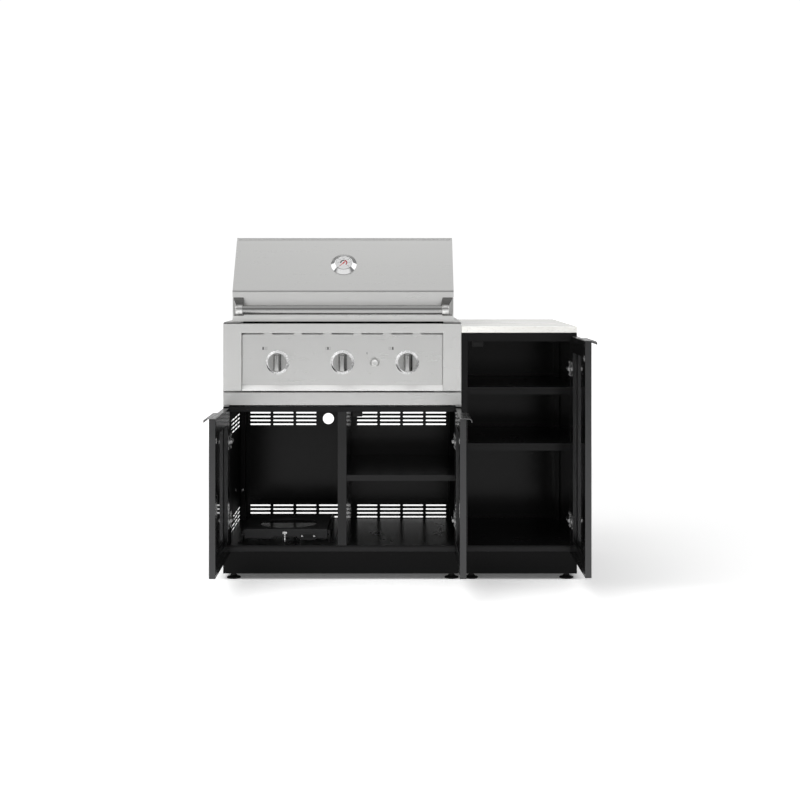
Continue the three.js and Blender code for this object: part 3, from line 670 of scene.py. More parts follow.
# ------------------------------------------------------------------ floor
GLOW = 0.44
floor_mat = Mat("studio_floor", (0.93, 0.93, 0.93), 0.6, 0.0, 0.2)
floor_mat.b.inputs["Emission Color"].default_value = (1, 1, 1, 1)
# the floor glows near the object and dims away from it; the camera sees it white all the way
f_len = floor_mat.node("ShaderNodeVectorMath", operation="LENGTH")
floor_mat.l.new(floor_mat.tc.outputs["Object"], f_len.inputs[0])
f_far = floor_mat.node("ShaderNodeMapRange", interpolation_type="SMOOTHSTEP")
floor_mat.l.new(f_len.outputs["Value"], f_far.inputs[0])
f_far.inputs["From Min"].default_value = 2.4
f_far.inputs["From Max"].default_value = 5.5
f_path = floor_mat.node("ShaderNodeLightPath")
f_xyz = floor_mat.node("ShaderNodeSeparateXYZ")
floor_mat.l.new(floor_mat.tc.outputs["Object"], f_xyz.inputs[0])
# painted light: camera rays see the floor up to 0.16 brighter in front of the cabinets, which paints out the doors'
# shadows there
f_front = floor_mat.node("ShaderNodeMapRange", interpolation_type="SMOOTHSTEP")
for i, v in enumerate((-0.20, -0.50, 0.0, 0.16)):
    f_front.inputs[i + 1].default_value = v
floor_mat.l.new(f_xyz.outputs["Y"], f_front.inputs[0])
# no glow below the cabinets
f_box = 1.0
for out_, lo, hi, a, b in (("X", -0.66, -0.60, 0.0, 1.0), ("X", 0.60, 0.66, 1.0, 0.0), ("Y", -0.188, -0.165, 0.0, 1.0), ("Y", 0.37, 0.43, 1.0, 0.0)):
    f_step = floor_mat.node("ShaderNodeMapRange", interpolation_type="SMOOTHSTEP")
    for i, v in enumerate((lo, hi, a, b)):
        f_step.inputs[i + 1].default_value = v
    floor_mat.l.new(f_xyz.outputs[out_], f_step.inputs[0])
    f_box = floor_mat.math("MULTIPLY", f_box, f_step.outputs[0])
f_under = floor_mat.math("MULTIPLY", f_box, GLOW * 0.8)
f_cam = floor_mat.math("ADD", floor_mat.math("ADD", floor_mat.math("SUBTRACT", GLOW, f_under), f_front.outputs[0]), floor_mat.math("MULTIPLY", f_far.outputs[0], 0.35))
f_lit = floor_mat.math("MULTIPLY", GLOW, floor_mat.math("SUBTRACT", 1.0, floor_mat.math("MULTIPLY", f_far.outputs[0], 0.8)))
f_mix = floor_mat.node("ShaderNodeMix", data_type="FLOAT")
floor_mat.l.new(f_path.outputs["Is Camera Ray"], f_mix.inputs[0])
floor_mat.l.new(f_lit, f_mix.inputs[2])
floor_mat.l.new(f_cam, f_mix.inputs[3])
floor_mat.l.new(f_mix.outputs[0], floor_mat.b.inputs["Emission Strength"])
me = bpy.data.meshes.new("studio_floor")
me.from_pydata([(-60, -60, 0), (60, -60, 0), (60, 60, 0), (-60, 60, 0)], [], [[0, 1, 2, 3]])
floor = bpy.data.objects.new("studio_floor", me)
floor.location.z = -0.0002
scene.collection.objects.link(floor)
me.materials.append(floor_mat.m)

# ------------------------------------------------------------------ cabinets
T = 1.5
SLOT_L, SLOT_H, PITCH = 79, 5.9, 89.5
ROWS_HIGH, ROWS_LOW = [532, 517, 502, 487], [170, 155, 140, 125]


def slot_shape(axis, a0, z, lo, hi):
    """A stadium-ended vent slot through a sheet."""
    r = SLOT_H / 2
    pts = []
    for k in range(9):
        t = -math.pi / 2 + math.pi * k / 8
        pts.append((a0 + SLOT_L - r + r * math.cos(t), z + r * math.sin(t)))
    for k in range(9):
        t = math.pi / 2 + math.pi * k / 8
        pts.append((a0 + r + r * math.cos(t), z + r * math.sin(t)))
    return prism(axis, pts, lo, hi)


def side_panel(name, xo, s):
    sec = [(0, 0), (22, 0), (22, 66), (20.5, 66), (20.5, T), (T, T), (T, 583 - T), (20.5, 583 - T), (20.5, 540 + T),
           (T + 2, 540 + T), (T + 2, 540), (22, 540), (22, 583), (0, 583)]
    o = plain_mesh(name, prism("z", [(xo + s * a, y) for a, y in sec], 98.8, 608.9))
    slots = []
    for k in range(5):
        for z in ROWS_HIGH + ROWS_LOW:
            a, b = sorted((xo - s, xo + s * (T + 1)))
            slots.append(slot_shape("x", 100 + k * PITCH, z, a, b))
    cut_out(o, merge(*slots))
    finish_mesh(o, "powder_matte", "island", "powder_coat", bevel=(0.35, 2, 40))
    return o


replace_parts(side_panel("left_side_vented", 0.0, 1), "grill_cab_left_side")
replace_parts(side_panel("right_side_vented", 838.0, -1), "grill_cab_right_side")

back = plain_mesh("vented_back", box(1, 837, 583.3, 584.8, 21.4, 608.9))
slots = []
for k in range(4):
    if k < 3:
        slots += [slot_shape("y", 37.5 + k * PITCH, z, 582, 586) for z in ROWS_HIGH]
    slots += [slot_shape("y", 37.5 + k * PITCH, z, 582, 586) for z in ROWS_LOW]
    slots += [slot_shape("y", 455 + k * PITCH, z, 582, 586) for z in ROWS_HIGH + ROWS_LOW]
slots.append(prism("y", ring(21.5, 48, 342.7, 509), 582, 586))
cut_out(back, merge(*slots))
finish_mesh(back, "powder", "island", "powder_coat", bevel=(0.35, 2, 40))
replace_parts(back, "grill_cab_back")

# painted light: the divider's black coat is painted lighter
soften("grill_cab_divider", "powder_painted_brighter", 0.45, 2)
# painted light: the shelf's front faces are painted lighter
soften("grill_cab_shelf", "powder_painted_lit_front", 0.45, 2)
for n in ("grill_cab_base", "storage_cab_base", "grill_cab_top_frame", "storage_cab_top_frame",
          "storage_cab_shelf_upper", "storage_cab_shelf_lower", "storage_cab_left_side",
          "storage_cab_right_side", "storage_cab_back", "tray_rail_left", "tray_rail_right"):
    soften(n, "powder_base" if n.endswith("_base") else "powder", 0.45, 2)
soften("countertop", "stone", 2.2, 4)
soften("grill_body", "steel", 0.5, 2)
for n in ("burner_left", "burner_centre", "burner_right"):
    soften(n, "steel_dark", 2.5, 3)
for n in ("grate_left", "grate_right"):
    soften(n, "iron", 1.6, 2)


# ---------------------------------------------------------------- levelling feet
def foot(node, x, y):
    body = lathe([(0, 0), (24, 0), (25, 1), (25, 4), (24, 5.2), (14.5, 8.2), (12.5, 10.2), (12, 12), (0, 12)], 48)
    nut = prism("z", ring(10.4, 6, 0, 0, math.pi / 6), 11.6, 17.4)
    stud = lathe([(0, 17), (5, 17), (5.4, 17.7), (5, 18.4), (5.4, 19.1), (5, 19.8), (5.4, 20.5), (5, 21.1), (0, 21.1)], 24)
    v, f = merge(body, nut, stud)
    o = mesh_object("foot_" + node, v, f, "plastic", "island", "foot_plastic", 30, at=lambda a, b, h: P(x + a, y + b, h))
    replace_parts(o, node)


for cab, xs in (("grill", (34, 804.5)), ("storage", (874, 1211))):
    for row, y in (("front", 34), ("rear", 549)):
        for side, x in zip(("left", "right"), xs):
            foot(f"{cab}_foot_{row}_{side}", x, y)


# ---------------------------------------------------------------- small hardware
def screw_head(r, h, n=24):
    """Low domed head with a round recess."""
    v, f = lathe([(0, 0), (r, 0), (r, h * 0.35), (r * 0.82, h * 0.8), (r * 0.5, h), (r * 0.5, h * 0.55), (0, h * 0.5)], n)
    return v, f


def along(dx, dy, x0, y0, z0):
    """Local (a, b, h) on an upright face whose outward direction is (dx, dy): a sideways, b up, h outwards."""
    return lambda a, b, h: P(x0 - a * dy + h * dx, y0 + a * dx + h * dy, z0 + b)


def rounded_rect(a0, a1, b0, b1, r, seg=5):
    return fillet([(a0, b0), (a1, b0), (a1, b1), (a0, b1)], r, seg)


def slab(outline, h0, h1):
    """Flat outline in (a, b), thick from h0 to h1."""
    n = len(outline)
    return [(a, b, h0) for a, b in outline] + [(a, b, h1) for a, b in outline], prism_faces(n)


def moved(shape, da=0.0, db=0.0, dh=0.0):
    v, f = shape
    return [(a + da, b + db, h + dh) for a, b, h in v], f


def hinge(node, x_face, s, z):
    """Fixed half of a concealed hinge on the front post: plate, arm, screws."""
    at = (lambda a, b, h: P(x_face + s * h, a, z + b))            # a = Y, b = up, h = away from the post
    plate = slab(rounded_rect(15, 61, -28, 28, 5), 0.3, 2.0)
    wing = slab(rounded_rect(24, 52, -12, 12, 3), 2.0, 3.2)
    arm = slab(fillet([(0.2, -6.2), (18, -7), (44, -7.5), (58, -6), (58, 6), (44, 7.5), (18, 7), (0.2, 6.2)], 2.0, 4), 3.0, 10.2)
    s1, s2 = moved(screw_head(4.2, 1.8), 38, -21, 2.0), moved(screw_head(4.2, 1.8), 38, 21, 2.0)
    s3, s4 = moved(screw_head(3.2, 1.2), 46, 0, 10.2), moved(screw_head(3.2, 1.2), 28, 0, 10.2)
    rivet = moved(lathe([(0, 0), (2.4, 0), (2.4, 0.9), (0, 0.9)], 20), 4, 0, 10.2)
    v, f = merge(plate, wing, arm, s1, s2, s3, s4, rivet)
    o = mesh_object("hinge_" + node, v, f, "nickel", "island", "hinge_steel", bevel=(0.35, 2, 50), at=at)
    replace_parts(o, node)


HINGES = {"left": (22.0, 1, (207, 485)), "middle": (816.0, -1, (207, 485)), "storage": (1222.8, -1, (207, 741))}
for door, (xf, s, zs) in HINGES.items():
    for tag, z in zip(("lower", "upper"), zs):
        hinge(f"{door}_door_hinge_{tag}", xf, s, z)

# ---------------------------------------------------------------- doors
OPEN = math.radians(89.8)
DOORS = {"left": (12.2, 1, -1, 414.6, 604.7), "middle": (828.0, -1, 1, 415.6, 604.7), "storage": (1234.6, -1, 1, 401.6, 856.9)}
Z0D, BORD = 88.7, 55.0


def door_frame_at(px, s, sign):
    """Door coordinates: d from the hinge edge, y from -10 (outside) to 11 (inside), z up."""
    c, n = math.cos(sign * OPEN), math.sin(sign * OPEN)

    def at(d, y, z):
        x = s * (d - 8.2)
        return P(px + x * c - y * n, -14 + x * n + y * c, z)
    return at


def build_door(name, px, s, sign, width, top):
    at = door_frame_at(px, s, sign)
    body = name + "_door"
    B, g = BORD, 0.12
    # four mitred hollow-section lengths
    rails = [
        [(g, Z0D), (width - g, Z0D), (width - B - g, Z0D + B), (B + g, Z0D + B)],
        [(width, Z0D + g), (width, top - g), (width - B, top - B - g), (width - B, Z0D + B + g)],
        [(width - g, top), (g, top), (B + g, top - B), (width - B - g, top - B)],
        [(0, top - g), (0, Z0D + g), (B, Z0D + B + g), (B, top - B - g)],
    ]
    shapes = [prism("y", r, -10.0, 11.0) for r in rails]
    v, f = merge(*shapes)
    o = mesh_object(name + "_door_profiles", v, f, "door", body, "door_metal", bevel=(0.9, 3, 40), at=at)
    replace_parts(o, name + "_door_frame")
    # tinted pane in its groove, with a seal on both faces
    v, f = prism("y", [(B - 10, Z0D + B - 10), (width - B + 10, Z0D + B - 10), (width - B + 10, top - B + 10), (B - 10, top - B + 10)], -7.4, -3.4)
    o = mesh_object(name + "_door_pane", v, f, "glass", body, "door_glass", bevel=(0.3, 2, 40), at=at)
    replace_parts(o, name + "_door_glass")
    for tag, y0, y1, w in (("outer", -8.6, -7.4, 2.2), ("inner", -3.4, -1.2, 3.0)):
        a0, a1, b0, b1 = B, width - B, Z0D + B, top - B
        strips = [
            prism("y", [(a0, b0), (a1, b0), (a1 - w, b0 + w), (a0 + w, b0 + w)], y0, y1),
            prism("y", [(a1, b0), (a1, b1), (a1 - w, b1 - w), (a1 - w, b0 + w)], y0, y1),
            prism("y", [(a1, b1), (a0, b1), (a0 + w, b1 - w), (a1 - w, b1 - w)], y0, y1),
            prism("y", [(a0, b1), (a0, b0), (a0 + w, b0 + w), (a0 + w, b1 - w)], y0, y1),
        ]
        v, f = merge(*strips)
        mesh_object(f"{name}_door_seal_{tag}", v, f, "rubber", body, "door_glass", bevel=(0.4, 2, 40), at=at)
    # edge pull: thin strip over the top edge, rolled down over the outside
    z = top + 0.3
    outer = fillet([(11, z + 2), (-20, z + 2), (-28.4, z - 2), (-29, z - 11)], [0, 6, 7, 0], 6, closed=False)
    inner = fillet([(11, z + 0.2), (-19.4, z + 0.2), (-26.7, z - 3), (-27.2, z - 11)], [0, 5, 6, 0], 6, closed=False)
    to = min(412, width - 3)
    verts, faces = [], []
    for d in (204, to):
        verts += [(d, y, zz) for y, zz in outer] + [(d, y, zz) for y, zz in inner]
    m = len(outer)
    for k in range(m - 1):
        faces += [[k, k + 1, 2 * m + k + 1, 2 * m + k], [m + k, 3 * m + k, 3 * m + k + 1, m + k + 1],
                  [k, m + k, m + k + 1, k + 1], [2 * m + k, 2 * m + k + 1, 3 * m + k + 1, 3 * m + k]]
    faces += [[0, 2 * m, 3 * m, m], [m - 1, 2 * m - 1, 4 * m - 1, 3 * m - 1]]
    o = mesh_object(name + "_door_pull", verts, faces, "pull", body, "door_metal", 30, at=at)
    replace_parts(o, name + "_door_handle")
    # hinge cups let into the inner face
    for z in HINGES[name][2]:
        cup = lathe([(0, -3.2), (14.5, -3.2), (15.2, -0.2), (17.5, 0.2), (17.5, 0.7), (16.8, 1.0), (15.4, 1.0), (14.0, -2.2), (0, -2.4)], 48)
        cup = [(24 + a, 11 + h, z + b) for a, b, h in cup[0]], cup[1]
        ear = prism("y", rounded_rect(14, 34, z - 26, z + 26, 6), 11.0, 11.7)
        link = prism("y", rounded_rect(0.8, 19.5, z - 6, z + 6, 2.5), 11.7, 13.3)
        heads = []
        for dz in (-21, 21):
            h = screw_head(3.6, 1.2)
            heads.append(([(24 + a, 11.7 + hh, z + dz + b) for a, b, hh in h[0]], h[1]))
        v, f = merge(cup, ear, link, *heads)
        mesh_object(f"{name}_door_hinge_cup_{'lower' if z == HINGES[name][2][0] else 'upper'}", v, f, "nickel", body, "hinge_steel",
                    bevel=(0.25, 2, 50), at=at)
    # catch plate near the free end, and two soft bumpers
    zc = 533 if name != "storage" else 800
    v, f = merge(prism("y", rounded_rect(width - 34, width - 18, zc - 9, zc + 9, 3), 11.0, 12.2),
                 ([(width - 26 + a, 12.2 + h, zc + b) for a, b, h in screw_head(3.4, 1.0)[0]], screw_head(3.4, 1.0)[1]))
    mesh_object(name + "_door_catch_plate", v, f, "nickel", body, "hinge_steel", bevel=(0.25, 2, 50), at=at)
    dots = []
    for zz in (Z0D + 14, top - 14):
        b = lathe([(0, 0), (4.5, 0), (4.5, 0.8), (3.2, 1.6), (0, 1.9)], 24)
        dots.append(([(width - 14 + a, 11 + h, zz + bb) for a, bb, h in b[0]], b[1]))
    v, f = merge(*dots)
    mesh_object(name + "_door_bumpers", v, f, "rubber", body, "door_glass", 30, at=at)


for name, (px, s, sign, width, top) in DOORS.items():
    build_door(name, px, s, sign, width, top)

# magnetic catches under the top rails
for tag, x0, x1, z0, z1 in (("grill", 457, 490, 573, 590), ("storage", 876, 915, 819, 838)):
    v, f = merge(prism("y", rounded_rect(x0, x1, z0, z1, 2.5), 3.0, 17.0),
                 prism("y", rounded_rect(x0 + 5, x1 - 5, z0 + 4.5, z1 - 4.5, 1.0), 1.2, 3.4))
    mesh_object(tag + "_magnetic_catch", v, f, "plastic", "island", "foot_plastic", bevel=(0.5, 2, 40))

# button-head bolts that join the left skin and its rear post
for k, (at, r) in enumerate(((along(1, 0, 1.5, 381, 259), 7.0), (along(0, -1, 12.0, 540.0, 236), 6.5))):
    v, f = screw_head(r, 3.2, 32)
    mesh_object(f"joining_bolt_{k + 1}", v, f, "nickel", "island", "hinge_steel", bevel=(0.3, 2, 50), at=at)


# ---------------------------------------------------------------- sheet helpers for the hood
def offset_path(pts, d):
    """An open (Y, Z) path moved sideways by d, to its right."""
    out = []
    for i, p in enumerate(pts):
        a = Vector(pts[max(i - 1, 0)])
        b = Vector(pts[min(i + 1, len(pts) - 1)])
        t = (b - a).normalized()
        n = Vector((t.y, -t.x))
        if 0 < i < len(pts) - 1:
            t1 = (Vector(p) - a).normalized()
            n1 = Vector((t1.y, -t1.x))
            k = max(0.5, n.dot(n1))
        else:
            k = 1.0
        out.append((p[0] + n.x * d / k, p[1] + n.y * d / k))
    return out


def shell(path, thick, x0, x1):
    """A bent sheet: the path's left side is its outside; pushed along X."""
    inner = offset_path(path, thick)
    m = len(path)
    v = [(x0, y, z) for y, z in path] + [(x0, y, z) for y, z in inner] + [(x1, y, z) for y, z in path] + [(x1, y, z) for y, z in inner]
    f = []
    for k in range(m - 1):
        f += [[k, k + 1, 2 * m + k + 1, 2 * m + k], [m + k, 3 * m + k, 3 * m + k + 1, m + k + 1],
              [k, m + k, m + k + 1, k + 1], [2 * m + k, 2 * m + k + 1, 3 * m + k + 1, 3 * m + k]]
    f += [[0, 2 * m, 3 * m, m], [m - 1, 2 * m - 1, 4 * m - 1, 3 * m - 1]]
    return v, f


# ---------------------------------------------------------------- control fascia
FZ0, FZ1, REC_T = 663.0, 900.4, 868.0
frame_face = plain_mesh("fascia_frame", box(0, 838, 0, 2, FZ0, FZ1))
cut_out(frame_face, prism("y", [(64.5, FZ0 - 5), (773.5, FZ0 - 5), (773.5, REC_T), (64.5, REC_T)], -2, 4))
finish_mesh(frame_face, "steel_frame", "island", "stainless", bevel=(0.8, 3, 40))
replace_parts(frame_face, "control_fascia")
returns = merge(box(62.6, 64.4, 2.05, 19.8, 664, 870.2), box(773.6, 775.4, 2.05, 19.8, 664, 870.2), box(64.6, 773.4, 2.1, 19.8, 868.6, 870.2),
                box(2.1, 835.9, 2.05, 12, 898.4, 900.2))
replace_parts(mesh_object("fascia_returns", *returns, "steel", "island", "stainless", bevel=(0.3, 2, 40)), "control_fascia")
panel = plain_mesh("control_panel", box(65.7, 772.3, 18, 20, 683.2, 868.3))
holes = [prism("y", [(x + 38 * a, 864.0 + 2.4 * b) for a, b in ((-1, -0.4), (-0.985, -1), (0.985, -1), (1, -0.4), (1, 0.4), (0.985, 1), (-0.985, 1), (-1, 0.4))], 16, 22)
         for x in (103.4, 209.4, 314, 419.2, 524.2, 629.2, 735)]
holes += [prism("y", ring(7.6, 24, x, 764), 16, 22) for x in (190, 419, 648)] + [prism("y", ring(6.6, 24, 533, 764), 16, 22)]
cut_out(panel, merge(*holes))
finish_mesh(panel, "steel_front", "island", "stainless", bevel=(0.3, 2, 40))
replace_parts(panel, "control_fascia")
LIP = fillet([(4.0, 663.3), (0.3, 663.9), (18.0, 682.6), (18.0, 684.0)], [0, 1.6, 4, 0], 6, closed=False)
lip_mesh = mesh_object("fascia_lip", *shell(LIP[::-1], -2.0, 65.2, 772.8), "steel_lip", "island", "stainless", 40)
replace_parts(lip_mesh, "control_fascia")
# drip tray: rolled front strip, flange and pan
strip = plain_mesh("drip_tray_front", box(0, 838, 0, 1.6, 613.8, 658.4))
finish_mesh(strip, "steel_strip", "grease_tray", "stainless", bevel=(1.1, 3, 40))
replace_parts(strip, "drip_tray")
pan = plain_mesh("drip_tray_pan", box(90, 748, 1.7, 470, 626, 650))
cut_out(pan, box(91.5, 746.5, 3.2, 468.5, 627.5, 660))
finish_mesh(pan, "steel", "grease_tray", "stainless", bevel=(0.5, 2, 40))
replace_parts(pan, "drip_tray")
flange = merge(box(2, 836, 1.65, 14, 655.6, 657.0), box(90, 748, 1.65, 3.1, 645, 656), box(2, 836, 1.65, 3.1, 615.5, 617.0))
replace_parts(mesh_object("drip_tray_flange", *flange, "steel", "grease_tray", "stainless", bevel=(0.3, 2, 40)), "drip_tray")

# ---------------------------------------------------------------- hood
# front sheet: band, bend and slope; top sheet: a short front hem over the slope, then the crown
SLOPE_SHEET = fillet([(80, 905.4), (80, 1014.3), (228.4, 1199.4), (231.2, 1199.2)], [0, 15, 0, 0], 10, closed=False)
SKIN = fillet([(228.0, 1200.4), (228.0, 1207.1), (470, 1207.1), (515, 1194), (545, 1160), (560, 1100), (560, 905.4)],
              [0, 1.8, 60, 60, 60, 60, 0], 8, closed=False)
END_LINE = fillet([(80, 905.4), (80, 1014.3), (229.2, 1200.4), (249, 1207), (470, 1207), (515, 1194), (545, 1160), (560, 1100), (560, 905.4)],
                  [0, 15, 7, 14, 60, 60, 60, 60, 0], 8, closed=False)
skin = merge(shell(SLOPE_SHEET, 1.5, 25.2, 812.8), shell(SKIN, 1.5, 24.6, 813.4))
hem_l = shell(offset_path(SLOPE_SHEET, -0.5), 2.2, 24.0, 33.0)
hem_r = shell(offset_path(SLOPE_SHEET, -0.5), 2.2, 805.0, 814.0)
plate_in = offset_path(END_LINE, 1.9)
end_l, end_r = prism("x", plate_in, 25.6, 27.1), prism("x", plate_in, 810.9, 812.4)
lip = box(27.2, 810.8, 81.8, 96, 905.5, 907.0)
v, f = merge(skin, hem_l, hem_r, end_l, end_r, lip)
hood = mesh_object("hood_shell", v, f, "steel_hood", "grill_hood", "stainless", 28)
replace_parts(hood, "hood")

# handle: tube, ferrules, sloping brackets
BY, BZ = 15.0, 948.0


def bar_at(h0):
    return lambda a, b, h: P(h0 + h, BY + a, BZ + b)


v, f = lathe([(0, 0), (16, 0), (16, 718), (0, 718)], 64)
bar = mesh_object("handle_tube", v, f, "steel_tube", "grill_hood", "stainless", 35, at=bar_at(60))
ferrules = []
for h0, flip in ((43, 1), (795, -1)):
    prof = [(0, 0), (15.5, 0), (18.0, 1.0), (19.0, 3.5), (19.0, 22.5), (18.2, 24.2), (16.2, 25.0), (0, 25.0)]
    v, f = lathe(prof, 64)
    ferrules.append(([(h0 + flip * h, BY + a, BZ + b) for a, b, h in v], f))


def bracket(side):
    mid = 419.0

    def X(x):
        return mid + side * (mid - x)
    v = [(X(x), 79.6, z) for x, z in ((27, 925), (64, 925), (64, 992), (27, 992))]
    v += [(X(x), 16.0, z) for x, z in ((45.5, 936), (73, 936), (73, 961.5), (45.5, 961.5))]
    return v, [[0, 1, 2, 3], [4, 5, 6, 7], [0, 1, 5, 4], [1, 2, 6, 5], [2, 3, 7, 6], [3, 0, 4, 7]]


v, f = merge(*ferrules)
ends = mesh_object("handle_ferrules", v, f, "steel", "grill_hood", "stainless", 35)
v, f = merge(bracket(-1), bracket(1))
arms = mesh_object("handle_brackets", v, f, "steel_shade", "grill_hood", "stainless", bevel=(2.2, 3, 30))
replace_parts(bar, "hood_handle")
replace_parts(ends, "hood_handle")
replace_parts(arms, "hood_handle")

# ---------------------------------------------------------------- thermometer
SLOPE = math.atan2(178.4, 143.0)
TN = Vector((0, -math.sin(SLOPE), math.cos(SLOPE)))
TU = Vector((0, math.cos(SLOPE), math.sin(SLOPE)))
T0 = Vector((419, 83 + (1109 - 1018) / math.tan(SLOPE), 1109)) + TN * 0.3


def gauge_at(a, b, h):
    q = T0 + Vector((1, 0, 0)) * a + TU * b + TN * h
    return P(q.x, q.y, q.z)


v, f = lathe([(0, 0), (45.4, 0), (46.6, 0.8), (46.4, 2.0), (33.4, 11.6), (32.2, 12.6), (31.2, 12.9), (30.4, 12.4), (30.2, 10.6), (0, 10.6)], 96)
bezel = mesh_object("thermometer_bezel", v, f, "chrome", "grill_hood", "chrome_trim", 30, at=gauge_at)
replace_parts(bezel, "hood_thermometer")
v, f = lathe([(0, 10.65), (30.0, 10.65), (30.0, 10.95), (0, 10.95)], 96)
mesh_object("thermometer_dial", v, f, "dial", "grill_hood", "chrome_trim", 30, at=gauge_at)


def sector(r0, r1, a0, a1, h0, h1, n=24):
    """A slab between two radii; angles in degrees clockwise from up."""
    top, out = [], []
    for k in range(n + 1):
        t = math.radians(a0 + (a1 - a0) * k / n)
        top.append((r1 * math.sin(t), r1 * math.cos(t)))
        out.append((r0 * math.sin(t), r0 * math.cos(t)))
    m = n + 1
    v = [(a, b, h0) for a, b in top] + [(a, b, h0) for a, b in out] + [(a, b, h1) for a, b in top] + [(a, b, h1) for a, b in out]
    f = []
    for k in range(n):
        f += [[k, k + 1, m + k + 1, m + k], [2 * m + k, 3 * m + k, 3 * m + k + 1, 2 * m + k + 1],
              [k, 2 * m + k, 2 * m + k + 1, k + 1], [m + k, m + k + 1, 3 * m + k + 1, 3 * m + k]]
    f += [[0, m, 3 * m, 2 * m], [n, 2 * m + n, 3 * m + n, m + n]]
    return v, f


ticks = []
for k in range(28):
    a = -135 + k * 10
    big = k % 3 == 0
    ticks.append(sector(25.2 if big else 26.6, 28.4, a - (0.9 if big else 0.5), a + (0.9 if big else 0.5), 10.9, 11.1, 2))
v, f = merge(*ticks)
mesh_object("thermometer_ticks", v, f, "ink_grey", "grill_hood", "chrome_trim", 30, at=gauge_at)
v, f = sector(9.0, 13.0, -96, 12, 10.9, 11.12)
mesh_object("thermometer_band_black", v, f, "ink", "grill_hood", "chrome_trim", 30, at=gauge_at)
v, f = sector(9.0, 13.0, 15, 140, 10.9, 11.12)
mesh_object("thermometer_band_red", v, f, "red_dark", "grill_hood", "chrome_trim", 30, at=gauge_at)
# needle at rest points to the low end, lower left
na = math.radians(-138)
dirv = Vector((math.sin(na), math.cos(na)))
nrm = Vector((dirv.y, -dirv.x))
pts = []
for l, w in ((-9, 0.9), (0, 1.5), (22, 0.35)):
    q = dirv * l + nrm * w
    pts.append((q.x, q.y))
for l, w in ((22, 0.35), (0, 1.5), (-9, 0.9)):
    q = dirv * l - nrm * w
    pts.append((q.x, q.y))
v, f = merge(slab(pts, 11.6, 11.9), lathe([(0, 11.2), (2.6, 11.2), (2.6, 12.2), (1.8, 12.6), (0, 12.6)], 24))
mesh_object("thermometer_needle", v, f, "red", "grill_hood", "chrome_trim", 30, at=gauge_at)


def text_shape(word, size, ca, cb, h0, h1):
    """Flat characters of Blender's own font, centred on (ca, cb)."""
    cu = bpy.data.curves.new("digits", "FONT")
    cu.body = word
    cu.size = size
    cu.align_x, cu.align_y = "CENTER", "CENTER"
    cu.resolution_u = 3
    cu.extrude = (h1 - h0) / 2
    ob = bpy.data.objects.new("digits", cu)
    scene.collection.objects.link(ob)
    dg = bpy.context.evaluated_depsgraph_get()
    me = bpy.data.meshes.new_from_object(ob.evaluated_get(dg))
    v = [(ca + p.co.x, cb + p.co.y, (h0 + h1) / 2 + p.co.z) for p in me.vertices]
    f = [list(p.vertices) for p in me.polygons]
    bpy.data.objects.remove(ob)
    bpy.data.curves.remove(cu)
    bpy.data.meshes.remove(me)
    return v, f


numbers = []
for k in range(1, 8):
    a = math.radians(-135 + (k - 1) * 45)
    numbers.append(text_shape(str(k * 50), 5.0, 20.2 * math.sin(a), 20.2 * math.cos(a), 10.9, 11.08))
v, f = merge(*numbers)
mesh_object("thermometer_numbers", v, f, "ink_grey", "grill_hood", "chrome_trim", 30, at=gauge_at)

# ---------------------------------------------------------------- controls
KNOB_X, KNOB_Z, YP = (190, 419, 648), 764, 17.7


def cone_h(r):
    """Height of the bezel's face over the panel at radius r."""
    return 1.6 + (41.6 - r) * 0.80 if r < 41.6 else 1.6


def cone_patch(a0, a1, width, lift=0.10, n=28, r_mid=39.2):
    """A thin printed shape on the bezel's cone; width(t) gives its half width for t from 0 to 1."""
    lines = []
    for k in range(n + 1):
        t = k / n
        a = math.radians(a0 + (a1 - a0) * t)
        w = width(t)
        for r in (r_mid - w, r_mid + w):
            lines.append((r * math.sin(a), r * math.cos(a), cone_h(r)))
    v = [(a, b, h + lift) for a, b, h in lines] + [(a, b, h - 0.3) for a, b, h in lines]
    m = len(lines)
    f = []
    for k in range(n):
        i, j = 2 * k, 2 * k + 2
        f += [[i, i + 1, j + 1, j], [m + i, m + j, m + j + 1, m + i + 1], [i, j, m + j, m + i], [i + 1, m + i + 1, m + j + 1, j + 1]]
    f += [[0, m, m + 1, 1], [2 * n, 2 * n + 1, m + 2 * n + 1, m + 2 * n]]
    return v, f


